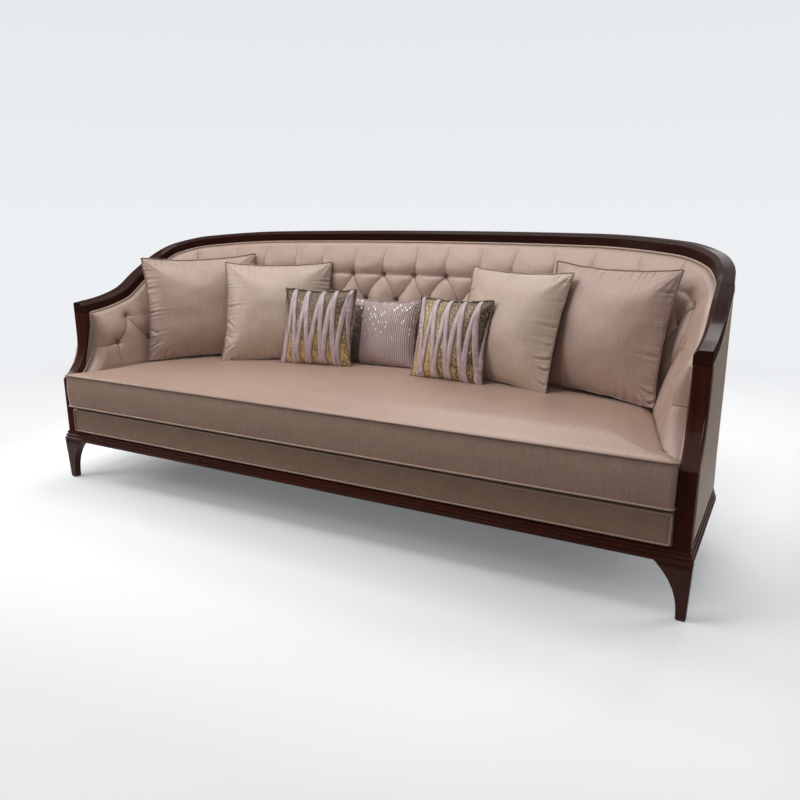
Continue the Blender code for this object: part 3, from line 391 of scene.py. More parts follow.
def lilac_pleat(name):
    """Fine pintucks in lilac satin with painted shade in their valleys, scattered silver stitches above and a
    dark band at one side.
    """
    f = Finish(name)
    along, up, _ = f.add("SeparateXYZ", {0: f.add("UVMap", uv_map="cloth")[0]})
    pleat_pitch, stitch_pitch = 0.0088, 0.022
    place = f.math("ADD", f.math("DIVIDE", along, pleat_pitch), 100.0)
    column = f.math("FLOOR", place)
    ridge = f.math("SINE", f.times(f.math("FRACT", place), math.pi))
    fine = f.grain(800, 300)
    base = f.mix(f.ramp(f.total((f.grain(14, 10), 0.6), (fine, 0.4)), 0.35, 0.65),
                 (0.520, 0.395, 0.385), (0.640, 0.500, 0.485))
    band = f.times(f.ramp(along, -0.088, -0.090), f.ramp(up, 0.112, 0.109))
    base = f.mix(band, base, (0.022, 0.015, 0.013))
    base = f.mix(f.times(band, f.ramp(ridge, 0.88, 0.98), 0.80), base, (0.42, 0.37, 0.35))
    # Painted shade: the valleys between the tucks are painted darker
    colour = f.mix(f.times(f.ramp(ridge, 0.72, 0.15), 0.62), base, (0.19, 0.13, 0.12))
    stagger = f.math("FRACT", f.times(column, 0.5))
    place = f.math("ADD", f.math("ADD", f.math("DIVIDE", up, stitch_pitch), stagger), 50.0)
    from_middle = f.math("ABSOLUTE", f.math("SUBTRACT", f.math("FRACT", place), 0.5))
    dash = f.ramp(f.math("SUBTRACT", 0.26, from_middle), 0.0, 0.05)
    spot = f.add("CombineXYZ", {0: column, 1: f.math("FLOOR", place)})[0]
    chance = f.add("TexWhiteNoise", {"Vector": spot}, noise_dimensions="2D")[0]
    lit = f.ramp(f.math("MULTIPLY_ADD", f.ramp(up, -0.040, 0.050), 0.16, chance), 0.84, 0.92)
    dash = f.times(dash, f.ramp(ridge, 0.40, 0.60), f.ramp(up, -0.042, -0.030), lit)
    f.put({"Base Color": f.mix(f.times(dash, 0.95), colour, (0.96, 0.93, 0.90)),
           "Metallic": f.times(dash, 0.3), "Roughness": f.between(dash, 0.42, 0.28),
           "Sheen Weight": 0.3, "Sheen Roughness": 0.35, "Sheen Tint": (1.0, 0.85, 0.84, 1),
           "Normal": f.bump(f.math("MULTIPLY_ADD", fine, 0.15, ridge), 0.0022, 0.9)})
    return f.material


def gold_edge(name):
    """Rough corded edge in dark brown flecked with gold."""
    f = Finish(name, 0.45)
    fleck = f.grain(420, 420)
    f.put({"Base Color": f.mix(f.ramp(fleck, 0.52, 0.60), (0.060, 0.036, 0.026), (0.42, 0.30, 0.14)),
           "Normal": f.bump(fleck, 0.002, 0.8), "Roughness": f.between(fleck, 0.6, 0.35)})
    return f.material


# The finishes: what builds each, with its name, light and dark colour, then coat, shine or threads
finish_rows = (
    (wood_finish, (
        ("dark_wood", (0.040, 0.0120, 0.0080), (0.018, 0.0058, 0.0042), 0.12),
        ("foot_wood", (0.085, 0.0205, 0.0120), (0.043, 0.0105, 0.0066), 0.32),
        ("hidden_wood", (0.52, 0.38, 0.23), (0.38, 0.25, 0.14)))),
    (cloth_finish, (
        ("taupe_satin", (0.450, 0.300, 0.228), (0.330, 0.215, 0.160), (1.0, 0.88, 0.84)),
        # Painted shade: the apron's satin is the taupe satin painted about a quarter darker
        ("apron_satin", (0.340, 0.215, 0.150), (0.250, 0.152, 0.103), (1.0, 0.86, 0.80)),
        ("tufted_satin", (0.450, 0.314, 0.252), (0.345, 0.237, 0.188), (1.0, 0.87, 0.84), True),
        ("outer_satin", (0.470, 0.360, 0.280), (0.360, 0.272, 0.207), (1.0, 0.85, 0.75)),
        ("taupe_cord", (0.430, 0.315, 0.245), (0.330, 0.237, 0.182), (1.0, 0.83, 0.74)),
        # Painted shade: the seat's top piping is the taupe cord painted about half as light
        ("seam_cord", (0.200, 0.132, 0.102), (0.140, 0.090, 0.070), (1.0, 0.80, 0.72)),
        ("rose_satin", (0.415, 0.290, 0.232), (0.315, 0.217, 0.172), (1.0, 0.86, 0.83)),
        # Painted shade: rose_cord and beige_cord are the rose and beige satins painted about half as light, for
        # the pillows' piping
        ("rose_cord", (0.220, 0.145, 0.115), (0.150, 0.098, 0.078), (1.0, 0.80, 0.74)),
        ("beige_satin", (0.505, 0.385, 0.305), (0.400, 0.300, 0.234), (1.0, 0.88, 0.80)),
        ("beige_cord", (0.240, 0.165, 0.130), (0.170, 0.115, 0.090), (1.0, 0.86, 0.78)))),
    (plain_cloth, (
        ("deck_cloth", (0.26, 0.20, 0.16), (0.15, 0.11, 0.09), 200),
        ("black_cloth", (0.035, 0.035, 0.035), (0.015, 0.015, 0.015), 300),
        ("webbing", (0.22, 0.15, 0.10), (0.12, 0.08, 0.05), 180),
        ("glide", (0.07, 0.07, 0.07), (0.03, 0.03, 0.03), 120, 0.5))),
    (gold_pattern, (("gold_pattern", 0.76, 1.7, 0.2), ("gold_pattern_right", 0.70, 0.6, 1.6))),
    (lilac_pleat, (("lilac_pleat",),)),
    (gold_edge, (("gold_edge",),)),
)
finishes = {row[0]: build(*row) for build, rows in finish_rows for row in rows}
# The solids' material that a finish stands for, where their names differ
slots = {"foot_wood": "dark_wood", "seam_cord": "taupe_cord", "rose_cord": "rose_satin",
         "beige_cord": "beige_satin",
         **dict.fromkeys(("tufted_satin", "apron_satin", "outer_satin"), "taupe_satin"),
         **dict.fromkeys(("gold_pattern_right", "gold_edge"), "gold_pattern")}


def read(items, key, width=1, kind=float):
    """One property of all items of a mesh, a row for each."""
    values = np.zeros(len(items) * width, kind)
    items.foreach_get(key, values)
    return values.reshape(-1, width) if width > 1 else values


def store(items, key, values):
    items.foreach_set(key, np.asarray(values, np.float32).ravel())


def add_object(name, mesh):
    piece = bpy.data.objects.new(name, mesh)
    scene.collection.objects.link(piece)
    return piece


def add_piece(name, points, faces, finish, body="root", replaces=(), uv=None, sharp=None, attributes=None):
    """One mesh object that rides on a body, with a finish, cloth coordinates and outward faces."""
    mesh = bpy.data.meshes.new(name)
    mesh.from_pydata(np.asarray(points, float).tolist(), [], faces)
    store(mesh.uv_layers.new(name="cloth").data, "uv", uv)
    for key, values in (attributes or {}).items():
        store(mesh.attributes.new(key, "FLOAT", "POINT").data, "value", values)
    work = bmesh.new()
    work.from_mesh(mesh)
    bmesh.ops.recalc_face_normals(work, faces=work.faces[:])
    if work.calc_volume(signed=True) < 0:
        bmesh.ops.reverse_faces(work, faces=work.faces[:])
    work.to_mesh(mesh)
    work.free()
    mesh.shade_smooth()
    if sharp:
        mesh.set_sharp_from_angle(angle=math.radians(sharp))
    mesh.materials.append(finishes[finish])
    piece = add_object(name, mesh)
    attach(piece, body)
    if replaces:
        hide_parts(*replaces)
    return piece


def corners_of(grid):
    """The four corners of each cell of a grid, cell by cell."""
    return np.stack((grid[:-1, :-1], grid[:-1, 1:], grid[1:, 1:], grid[1:, :-1]), 2)


def lengths_along(points, closed=False):
    """Length of a polyline up to each of its points, and back to its start where it is closed."""
    if closed:
        points = np.r_[points, points[:1]]
    return np.r_[0, np.cumsum(np.linalg.norm(np.diff(points, axis=0), axis=1))]


def points_at(at, lengths, points):
    return np.stack([np.interp(at, lengths, values) for values in points.T], -1)


def even_route(points, step, closed=False):
    """Points spaced evenly along a polyline."""
    points = np.asarray(points, float)
    if closed:
        points = np.r_[points, points[:1]]
    lengths = lengths_along(points)
    count = max(4, int(round(lengths[-1] / step)))
    at = np.linspace(0, lengths[-1], count + 1)
    return points_at(at[:-1] if closed else at, lengths, points)


def level_normals(line):
    """Outward directions, level with the plan, along a closed line."""
    way = np.roll(line, -1, 0) - np.roll(line, 1, 0)
    way = np.stack((way[:, 1], -way[:, 0]), -1)
    return way / np.linalg.norm(way, axis=1)[:, None]


def skin(name, rings, finish, closed=False, hard=False, **options):
    """A skin over rings of points, with cloth coordinates that run along and around it in metres."""
    rings = np.asarray(rings, float)
    rows, count = rings.shape[:2]
    index = np.arange(rows * count).reshape(rows, count)
    index = np.c_[index, index[:, :1]]
    if closed:
        index = np.r_[index, index[:1]]
    faces = corners_of(index).reshape(-1, 4).tolist()
    along = lengths_along(rings.mean(1), closed=True)[:len(index)]
    around = lengths_along(rings[rows // 2], closed=True)
    uv = corners_of(np.stack(np.meshgrid(along, around, indexing="ij"), -1)).reshape(-1, 2)
    if not closed:
        for row in (0, rows - 1):
            faces.append(list(range(row * count, (row + 1) * count)))
            flat = rings[row] - rings[row][0]
            uv = np.r_[uv, np.stack((flat[:, 2], flat[:, 0] + flat[:, 1]), -1)]
    piece = add_piece(name, rings.reshape(-1, 3), faces, finish, uv=uv, sharp=30 if hard else None, **options)
    if hard:
        piece.modifiers.new("weights", "WEIGHTED_NORMAL").keep_sharp = True
    return piece


def wood_skin(name, rings, finish="foot_wood"):
    skin(name + "_wood", rings, finish, hard=True, replaces=[name])


def rounded(corners, radii, parts=4):
    """A closed outline whose corners are eased by their radii."""
    corners = [np.asarray(corner, float) for corner in corners]
    out = []
    for k, (corner, radius) in enumerate(zip(corners, radii)):
        one, two = corners[k - 1] - corner, corners[(k + 1) % len(corners)] - corner
        one, two = one / np.linalg.norm(one), two / np.linalg.norm(two)
        if not radius:
            out.append(corner)
            continue
        reach = radius / math.tan(math.acos(float(np.clip(one @ two, -1, 1))) / 2)
        start, end = corner + one * reach, corner + two * reach
        for t in np.linspace(0, 1, parts + 1):
            out.append((1 - t) ** 2 * start + 2 * t * (1 - t) * corner + t**2 * end)
    return np.array(out)


def tube(name, route, radius, finish, closed=False, sides=12, lumps=0.0, seed=0, **options):
    """A round cord along a route, with even rings that don't twist."""
    route = np.asarray(route, float)
    ahead = np.roll(route, -1, 0) if closed else np.r_[route[1:], route[-1:]]
    behind = np.roll(route, 1, 0) if closed else np.r_[route[:1], route[:-1]]
    way = ahead - behind
    way /= np.linalg.norm(way, axis=1)[:, None]
    side = np.zeros_like(route)
    start = np.array((0, 0, 1.0)) if abs(way[0][2]) < 0.9 else np.array((0, 1.0, 0))
    for k, forward in enumerate(way):
        start = start - forward * (start @ forward)
        start /= np.linalg.norm(start)
        side[k] = start
    other = np.cross(way, side)
    turns = np.linspace(0, math.tau, sides, endpoint=False)
    size = radius * (1 + lumps * value_noise(np.arange(len(route))[:, None], turns[None] * 2, 0.8, seed))
    rings = route[:, None] + size[..., None] * (np.cos(turns)[None, :, None] * side[:, None]
                                               + np.sin(turns)[None, :, None] * other[:, None])
    return skin(name, rings, finish, closed=closed, **options)


def rail_ring(run, share=1.0):
    """Section of the rail at a run, shrunk to a share of its size."""
    top, under, stretch = rail_top(run), rail_under(run), rail_stretch(run)
    corners = [(0, under), (0, top), (rail_width - rail_bevel, top), (rail_width, top - rail_bevel * stretch),
               (rail_width, under)]
    section = rounded(corners, (0.002, 0.003, 0.0025, 0.0025, 0.002))
    middle = section.mean(0)
    section = middle + (section - middle) * share
    return wall(run, section[:, 0], section[:, 1])


def make_rails():
    """The show-wood rail in its five lengths, with a hairline groove at each joint."""
    groove, groove_share = 0.0008, 0.965
    back_half, arm_start = rail_joint_share * arm_end, arm_joint_share * arm_end
    lengths = [("rail_back", -back_half, back_half)]
    for side, word in both_sides:
        lengths.append((f"rail_corner_{word}", side * back_half, side * arm_start))
        lengths.append((f"rail_arm_{word}", side * arm_start, side * arm_end))
    for name, start, end in lengths:
        way = math.copysign(1, end - start)
        start, end = start + way * gap / 2, end - way * gap / 2
        runs = np.linspace(start + way * groove, end - way * groove, int(abs(end - start) / 0.008))
        rings = [rail_ring(run) for run in runs]
        rings = [rail_ring(start, groove_share), *rings, rail_ring(end, groove_share)]
        wood_skin(name, rings, "dark_wood")


def make_posts():
    """Front posts: a flat foot, a crisp shoulder, a hollow scotia and an upright top under the rail."""
    tip = float(rail_under(arm_end)) - gap
    levels = np.r_[np.linspace(frame_bottom, post_shoulder - 0.006, 24),
                   np.linspace(-0.004, 0.004, 9) + post_shoulder, np.linspace(post_shoulder + 0.006, tip, 64)]
    outer, inner, rebate = half_width, half_width - post_width, half_width - panel_thickness - gap
    for side, word in both_sides:
        rings = []
        for z, front in zip(levels, post_front(levels)):
            lip, back = front + post_lip, front + post_depth
            corners = [(inner, front), (outer, front), (outer, lip), (rebate, lip), (rebate, back),
                       (inner, back)]
            section = rounded(corners, (0.0025, 0.0025, 0.0008, 0, 0, 0.001))
            rings.append([(side * x, y - middle_y, z) for x, y in section])
        wood_skin(f"front_post_{word}", rings)


def reeded_section():
    """Outer profile of the base: a fillet and three rounded reeds that step outwards, then its flat back."""
    points = [(-0.0022, 1.0)]
    reeds = ((0.0030, 0.97, 0.70), (0.0070, 0.66, 0.37), (0.0110, 0.33, 0.04))
    for reach, high, low in reeds:
        middle, half = (high + low) / 2, (high - low) / 2
        for t in np.linspace(-1, 1, 9):
            bulge = 0.0026 * (math.sqrt(max(0, 1 - t * t)) - 1)
            points.append((-(reach + bulge), middle - half * t))
    points.append((-0.0095, 0.0))
    outer = [(inset, leg_height + rise * base_height) for inset, rise in points]
    inner = base_width - base_overhang
    return np.array(outer + [(inner, leg_height), (inner, leg_height + base_height)])


def make_base():
    """The reeded moulding round the foot of the shell, mitred at its front corners."""
    inset, z = reeded_section().T
    left, right = (np.stack((side * (half_width - inset - gap), inset - base_front - middle_y, z), -1)
                   for side in (-1, 1))
    steps = np.linspace(0, 1, 60)[:, None, None]
    wood_skin("base_front", left * (1 - steps) + right * steps)
    joint = rail_joint_share * arm_end
    for side, word in both_sides:
        mitre = wall(side * (half_line + base_front - inset - gap), inset, z)
        runs = np.linspace(half_line - base_width - gap, joint + gap / 2, 150)
        wood_skin(f"base_{word}", [mitre] + [wall(side * run, inset, z) for run in runs])
    runs = np.linspace(-joint + gap / 2, joint - gap / 2, 240)
    wood_skin("base_back", [wall(run, inset, z) for run in runs])


def make_bracket_leg(name, corner, inward, outward):
    """A bracket leg: its inner side sweeps out under the base, its outer side tapers to the foot."""
    bottom, top = glide_thickness + gap, leg_height - gap
    corner, inward, outward = (np.array(v, float)[:2] for v in (corner, inward, outward))
    rings = []
    for k in range(31):
        level = bottom + (1 - (1 - k / 30) ** 1.7) * (top - bottom)
        share = (level - glide_thickness) / (leg_height - glide_thickness)
        outer = leg_taper * (1 - share)
        inner = leg_taper + foot_width + bracket_reach * share**bracket_power
        corners = [(outer, outer), (inner, outer), (inner, leg_depth), (outer, leg_depth)]
        spots = rounded(corners, (0.0022,) * 4, 3)
        rings.append([(*(corner + a * inward - b * outward), level) for a, b in spots])
    wood_skin(name, rings)


def make_square_leg(name, top_width, foot):
    low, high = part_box(name)
    middle = (low + high) / 2
    rings = []
    for share in np.linspace(0, 1, 8):
        h = (foot + (top_width - foot) * share) / 2
        spots = rounded([(-h, -h), (h, -h), (h, h), (-h, h)], (0.002,) * 4, 3)
        rings.append([(middle.x + a, middle.y + b, low.z + share * (high.z - low.z)) for a, b in spots])
    wood_skin(name, rings)


def make_legs():
    reach = foot_width + bracket_reach + leg_taper
    for side, word in both_sides:
        corner = (side * (half_width + base_overhang), -base_front - base_overhang - middle_y)
        make_bracket_leg(f"leg_front_{word}", corner, (-side, 0), (0, -1))
        run = side * rear_leg_share * arm_end
        start, end = wall(run, 0, 0), wall(run - side * reach, 0, 0)
        along = (end - start)[:2] / np.linalg.norm(end - start)
        outward = np.array((along[1], -along[0])) * side
        make_bracket_leg(f"leg_back_{word}", start[:2] - outward * gap, along, outward)
    for name in ("leg_back_center", "leg_center_support"):
        make_square_leg(name, 0.045, 0.030)


def make_outer_covers():
    """Outer panels of the shell, pulled taut, each with a slim welt at its edge."""
    rise = np.linspace(0, 1, 40)

    def heights(run):
        return frame_bottom + rise * (float(rail_under(run)) - gap - frame_bottom)

    for name, start, end, columns in (("outer_back", -pad_joint, pad_joint, 260),
                                      ("outer_arm_left", -half_line, -pad_joint, 110),
                                      ("outer_arm_right", half_line, pad_joint, 110)):
        rings = []
        for share in np.linspace(0, 1, columns):
            run = start + (end - start) * share
            z = heights(run)
            if name != "outer_back":
                for _ in range(4):
                    near = half_line - post_front(z) - post_lip - gap
                    run = math.copysign(1, start) * (near + (pad_joint + gap / 2 - near) * share)
                    last, z = z, heights(run[-1])
                z = last
            edge = np.minimum(np.minimum(rise, 1 - rise) * 0.6, min(share, 1 - share) * 0.5)
            swell = 0.0018 * quarter_round(edge, 0.02) + 0.0006 * value_noise(run, z, 0.11, 5)
            rings.append(np.r_[wall(run, 0.0012 - swell, z), wall(run, panel_thickness, z)[::-1]])
        skin(name + "_cover", rings, "outer_satin", replaces=[name])
    for side, word in both_sides:
        z = np.linspace(frame_bottom + 0.003, float(rail_under(arm_end)) - 0.004, 60)
        upright = wall(side * (half_line - post_front(z) - post_lip - 0.0025), -0.0004, z)
        runs = np.linspace(arm_end - post_lip - 0.003, 0.0, 240)
        along = wall(side * runs, -0.0004, rail_under(runs) - 0.0028)
        tube(f"outer_welt_{word}", even_route(np.r_[upright, along], 0.006), 0.0022, "taupe_cord", sides=8)


def row_height(run, row):
    """Height of a row of buttons; the rows fall along the arms as the rail does."""
    return tuft_top - tuft_fall * smoothstep(np.abs(run), 1.15, 1.50) - row * tuft_pitch


def tuft_marks():
    """Buttons, and creases as pairs of (run, height) ends with a depth share at each end."""
    lowest = seat_level + 0.030
    buttons, creases, rows = [], [], []
    between = [(a + b) / 2 for a, b in zip(tuft_columns, tuft_columns[1:])]
    between = [-tuft_last, *between, tuft_last]
    for row in range(5):
        spots = between if row % 2 else tuft_columns
        rows.append([(run, float(row_height(run, row))) for run in spots])
    for row, spots in enumerate(rows):
        for run, z in spots:
            if z < lowest or (row > 1 and abs(run) > tuft_arm):
                continue
            buttons.append((run, z))
            if row == 0 and abs(run) < tuft_upright:
                creases.append((run, z, run, z + 0.76 * (float(rail_under(run)) - z), 1.0, 0.50))
            near = [spot for spot in rows[row + 1] if abs(spot[0] - run) < tuft_reach] if row < 4 else []
            near = [spot for spot in near if spot[1] >= lowest and not (row > 0 and abs(spot[0]) > tuft_arm)]
            creases += [(run, z, *spot, 1.0, 1.0) for spot in near]
            if len(near) < 2 and row > 0:
                creases.append((run, z, run + math.copysign(0.008, run), seat_level - 0.03, 1.0, 0.35))
            if row == 1 and abs(run) == tuft_last:
                creases.append((run, z, math.copysign(half_line - 0.02, run), z + 0.002, 1.0, 0.5))
    return buttons, creases


def tuft_field():
    """Grid over run and height: how far the face is drawn in, and the distance to the nearest crease."""
    cell = 0.003
    runs = np.arange(-half_line - 0.02, half_line + 0.02, cell)
    heights = np.arange(seat_level - 0.06, back_height, cell)
    grid_run, grid_z = np.meshgrid(runs, heights, indexing="ij")
    buttons, creases = tuft_marks()
    pull = np.zeros_like(grid_run)
    weight = np.zeros_like(grid_run)
    near_fold = np.full_like(grid_run, no_fold)
    for k, (run_a, z_a, run_b, z_b, deep_a, deep_b) in enumerate(creases):
        reach = 0.06
        i0, i1 = np.searchsorted(runs, (min(run_a, run_b) - reach, max(run_a, run_b) + reach))
        j0, j1 = np.searchsorted(heights, (min(z_a, z_b) - reach, max(z_a, z_b) + reach))
        part = (slice(i0, i1), slice(j0, j1))
        way = np.array((run_b - run_a, z_b - z_a))
        length = np.linalg.norm(way)
        along = ((grid_run[part] - run_a) * way[0] + (grid_z[part] - z_a) * way[1]) / length**2
        t = np.clip(along, 0, 1)
        bend = 0.05 * length * np.sin(math.pi * t) * (1 if k % 2 else -1)
        off = ((grid_run[part] - run_a) * way[1] - (grid_z[part] - z_a) * way[0]) / length - bend
        beyond = (along - t) * length
        distance = np.hypot(off, beyond)
        sag = np.sin(math.pi * t) if deep_b == 1 else np.sin(math.pi * np.minimum(t, 0.5))
        depth = (deep_a * (1 - t) + deep_b * t) * (1 - 0.42 * sag**0.8)
        strength = 16.0 * np.exp(-(distance / 0.0026) ** 2)
        pull[part] = np.where(strength > weight[part], depth, pull[part])
        weight[part] = np.maximum(weight[part], strength)
        # Shallower creases count as farther away, so their painted shade is fainter
        near_fold[part] = np.minimum(near_fold[part], distance + 0.0036 * (1 - depth) ** 2)
    for run, z in buttons:
        distance = np.hypot(grid_run - run, grid_z - z)
        strength = 40.0 * np.exp(-(distance / 0.0045) ** 2)
        pull = np.where(strength > weight, 1.15, pull)
        weight = np.maximum(weight, strength)
    ledge = np.exp(-((grid_z - row_height(grid_run, 0)) / 0.010) ** 2) * (np.abs(grid_run) < 1.60)
    ledge_weight = 0.03 * ledge
    drawn = np.zeros_like(pull)
    pinned = weight + ledge_weight
    target = np.where(pinned > 0, (weight * pull + ledge_weight * 0.75) / np.maximum(pinned, 1e-9), 0)
    spring = (cell / fold_reach) ** 2
    for _ in range(260):
        total = (np.roll(drawn, 1, 0) + np.roll(drawn, -1, 0) + np.roll(drawn, 1, 1) + np.roll(drawn, -1, 1))
        drawn = (total + pinned * target) / (4 + spring + pinned)
    puff = 1 - drawn
    drawn = 1 - np.sign(puff) * np.abs(puff) ** 0.62
    above = grid_z - row_height(grid_run, 0)
    lip = np.where(above > 0, np.exp(-np.abs(above) / 0.024), np.exp(-np.abs(above) / 0.006))
    drawn += 0.34 * lip * np.clip(1 - drawn, 0, 1) * (1 - smoothstep(np.abs(grid_run), 1.30, 1.40))
    for n, (run, z) in enumerate(buttons):
        i0, i1 = np.searchsorted(runs, (run - 0.06, run + 0.06))
        j0, j1 = np.searchsorted(heights, (z - 0.06, z + 0.06))
        a, b = grid_run[i0:i1, j0:j1] - run, grid_z[i0:i1, j0:j1] - z
        distance, turn = np.hypot(a, b), np.arctan2(b, a)
        rays = np.cos(7 * turn + n) + 0.6 * np.cos(11 * turn + 2.3 * n)
        drawn[i0:i1, j0:j1] += 0.045 * rays * (distance / 0.012) * np.exp(-(distance / 0.016) ** 1.5)
    return runs, heights, drawn, near_fold, buttons


tuft_runs, tuft_heights, tuft_drawn, tuft_near, tuft_buttons = tuft_field()


def from_field(field, run, z):
    """Reads the tuft grid between its cells."""
    a, b = (np.clip((np.asarray(at, float) - lines[0]) / (lines[1] - lines[0]), 0, len(lines) - 1.001)
            for at, lines in ((run, tuft_runs), (z, tuft_heights)))
    i, j = a.astype(int), b.astype(int)
    u, v = a - i, b - j
    return ((field[i, j] * (1 - u) + field[i + 1, j] * u) * (1 - v)
            + (field[i, j + 1] * (1 - u) + field[i + 1, j + 1] * u) * v)


def cord_height(run):
    return rail_under(run) - (gap + cord_radius) * rail_stretch(run)


def pad_top(run):
    return cord_height(run) - cord_radius * rail_stretch(run)


def post_stretch(z):
    slope = (post_front(z + 0.02) - post_front(z - 0.02)) / 0.04
    return np.hypot(1, slope)


def cord_start(z):
    return half_line - post_front(z) - pad_reveal - (gap + cord_radius) * post_stretch(z)


def pad_start(z):
    return cord_start(z) - cord_radius * post_stretch(z) - 0.0008


def pad_inset(run, z, tufted=True):
    """Inset of the pad's face: thin at its edges, thicker towards the seat and the corner."""
    from_post = pad_start(z) - np.abs(run)
    growth = np.clip((float(pad_start(np.array(soft_bottom))) - np.abs(run)) / pad_growth, 0, 1)
    low = pad_post_thickness + (pad_low_thickness - pad_post_thickness) * growth
    climb = np.clip((z - seat_level) / (pad_top(run) - seat_level), 0, 1)
    thickness = low + (pad_top_thickness - low) * climb
    from_top = pad_top(run) - z
    rise = 1 - (1 - np.clip(from_top / pad_slope, 0, 1)) ** 2
    roll = (0.22 * quarter_round(from_top, 0.014) + 0.78 * rise) * quarter_round(from_post, pad_roll)
    draw = 0
    if tufted:
        above_seat = smoothstep(z, seat_level - 0.05, seat_level)
        draw = fold_depth * from_field(tuft_drawn, run, z) * roll**0.7 * above_seat
        draw = draw - 0.0006 * value_noise(run, z, 0.03, 11) * roll
        draw = draw - 0.001 * value_noise(run, z, 0.09, 3) * roll
    return pad_back + pad_edge + (thickness - pad_edge) * roll - draw


def pad_columns(start, end, at_post):
    """Runs and heights of a pad's face, column by column; an arm's pad follows its post."""
    hidden = 0.035
    low = np.linspace(soft_bottom, seat_level - hidden, 14)[:-1]
    rise = np.linspace(0, 1, 130)
    rise = 1 - (1 - rise) * (1 - 0.25 * rise**4)

    def heights(top):
        return np.r_[low, seat_level - hidden + rise * (top - seat_level + hidden)]

    columns = []
    for share in np.linspace(0, 1, int(abs(end - start) / 0.0034)):
        run = start + (end - start) * share
        z = heights(float(pad_top(run)))
        for _ in range(2 if at_post else 0):
            near = pad_start(z)
            run = math.copysign(1, end) * (near + (abs(end) - near) * share)
            z = heights(pad_top(run)[-1])
        columns.append((np.broadcast_to(run, z.shape), z))
    return np.array(columns).transpose(1, 0, 2)


def make_pads():
    """The tufted inner pads: fine faces over the tuft field, closed at the back."""
    for name, start, end in (("back_pad", -pad_joint + gap / 2, pad_joint - gap / 2),
                             ("arm_pad_left", -half_line, -pad_joint - gap / 2),
                             ("arm_pad_right", half_line, pad_joint + gap / 2)):
        runs, heights = pad_columns(start, end, name != "back_pad")
        face = wall(runs, pad_inset(runs, heights), heights)
        rear = wall(runs, pad_back, heights)[:, ::-12]
        # The distance to the nearest crease, kept as the fold attribute, places the painted crease shade
        fold = np.where(heights < seat_level - 0.03, no_fold, from_field(tuft_near, runs, heights))
        fold = np.concatenate((fold, np.full(rear.shape[:2], no_fold)), 1)
        piece = skin(name + "_tufted", np.concatenate((face, rear), 1), "tufted_satin", replaces=[name],
                     attributes={"fold": fold})


def make_buttons():
    """Covered buttons, domed, sunk in the tufts."""
    levels, sides, up = 6, 16, np.array((0, 0, 1.0))
    for word, low, high in (("back", -pad_joint, pad_joint), ("arm_left", -half_line, -pad_joint),
                            ("arm_right", pad_joint, half_line)):
        points, faces, uvs = [], [], []
        for run, z in tuft_buttons:
            if not low < run < high:
                continue
            middle, beside = wall([run, run + 0.01], float(pad_inset(np.array(run), np.array(z))), z)
            across = (beside - middle) / np.linalg.norm(beside - middle)
            out = np.cross(across, up)
            if out @ (middle[2] * up - middle) < 0:
                out = -out
            index = len(points) + np.arange(levels * sides).reshape(levels, sides)
            for turn in np.linspace(0, math.pi / 2, levels):
                size, rise = button_radius * math.cos(turn) ** 0.8, 0.0045 * math.sin(turn)
                for a in np.linspace(0, math.tau, sides, endpoint=False):
                    x, y = size * math.cos(a), size * math.sin(a)
                    points.append(middle + out * (rise - button_sunk) + across * x + up * y)
                    uvs.append((x, y))
            faces += corners_of(np.c_[index, index[:, :1]]).reshape(-1, 4).tolist()
            faces.append(index[0, ::-1].tolist())
        add_piece(f"buttons_{word}", points, faces, "taupe_satin", uv=[uvs[k] for face in faces for k in face])


def make_rail_cord():
    """The cord that trims the pads: up one post, along under the rail and down the other."""
    inset = post_width + gap + cord_radius
    turn = arm_end - pad_reveal - gap - 2 * cord_radius
    z = np.linspace(soft_bottom, float(cord_height(turn)) - 0.006, 90)
    up = np.stack((-cord_start(z), z), -1)
    runs = np.linspace(-turn + 0.002, turn - 0.002, 700)
    along = np.stack((runs, cord_height(runs)), -1)
    path = np.r_[up, along, np.stack((-up[::-1, 0], up[::-1, 1]), -1)]
    route = even_route(wall(path[:, 0], inset, path[:, 1]), 0.005)
    route[1:-1] = (route[:-2] + 2 * route[1:-1] + route[2:]) / 4
    tube("rail_cord_covered", route, cord_radius, "taupe_cord", replaces=["rail_cord"])


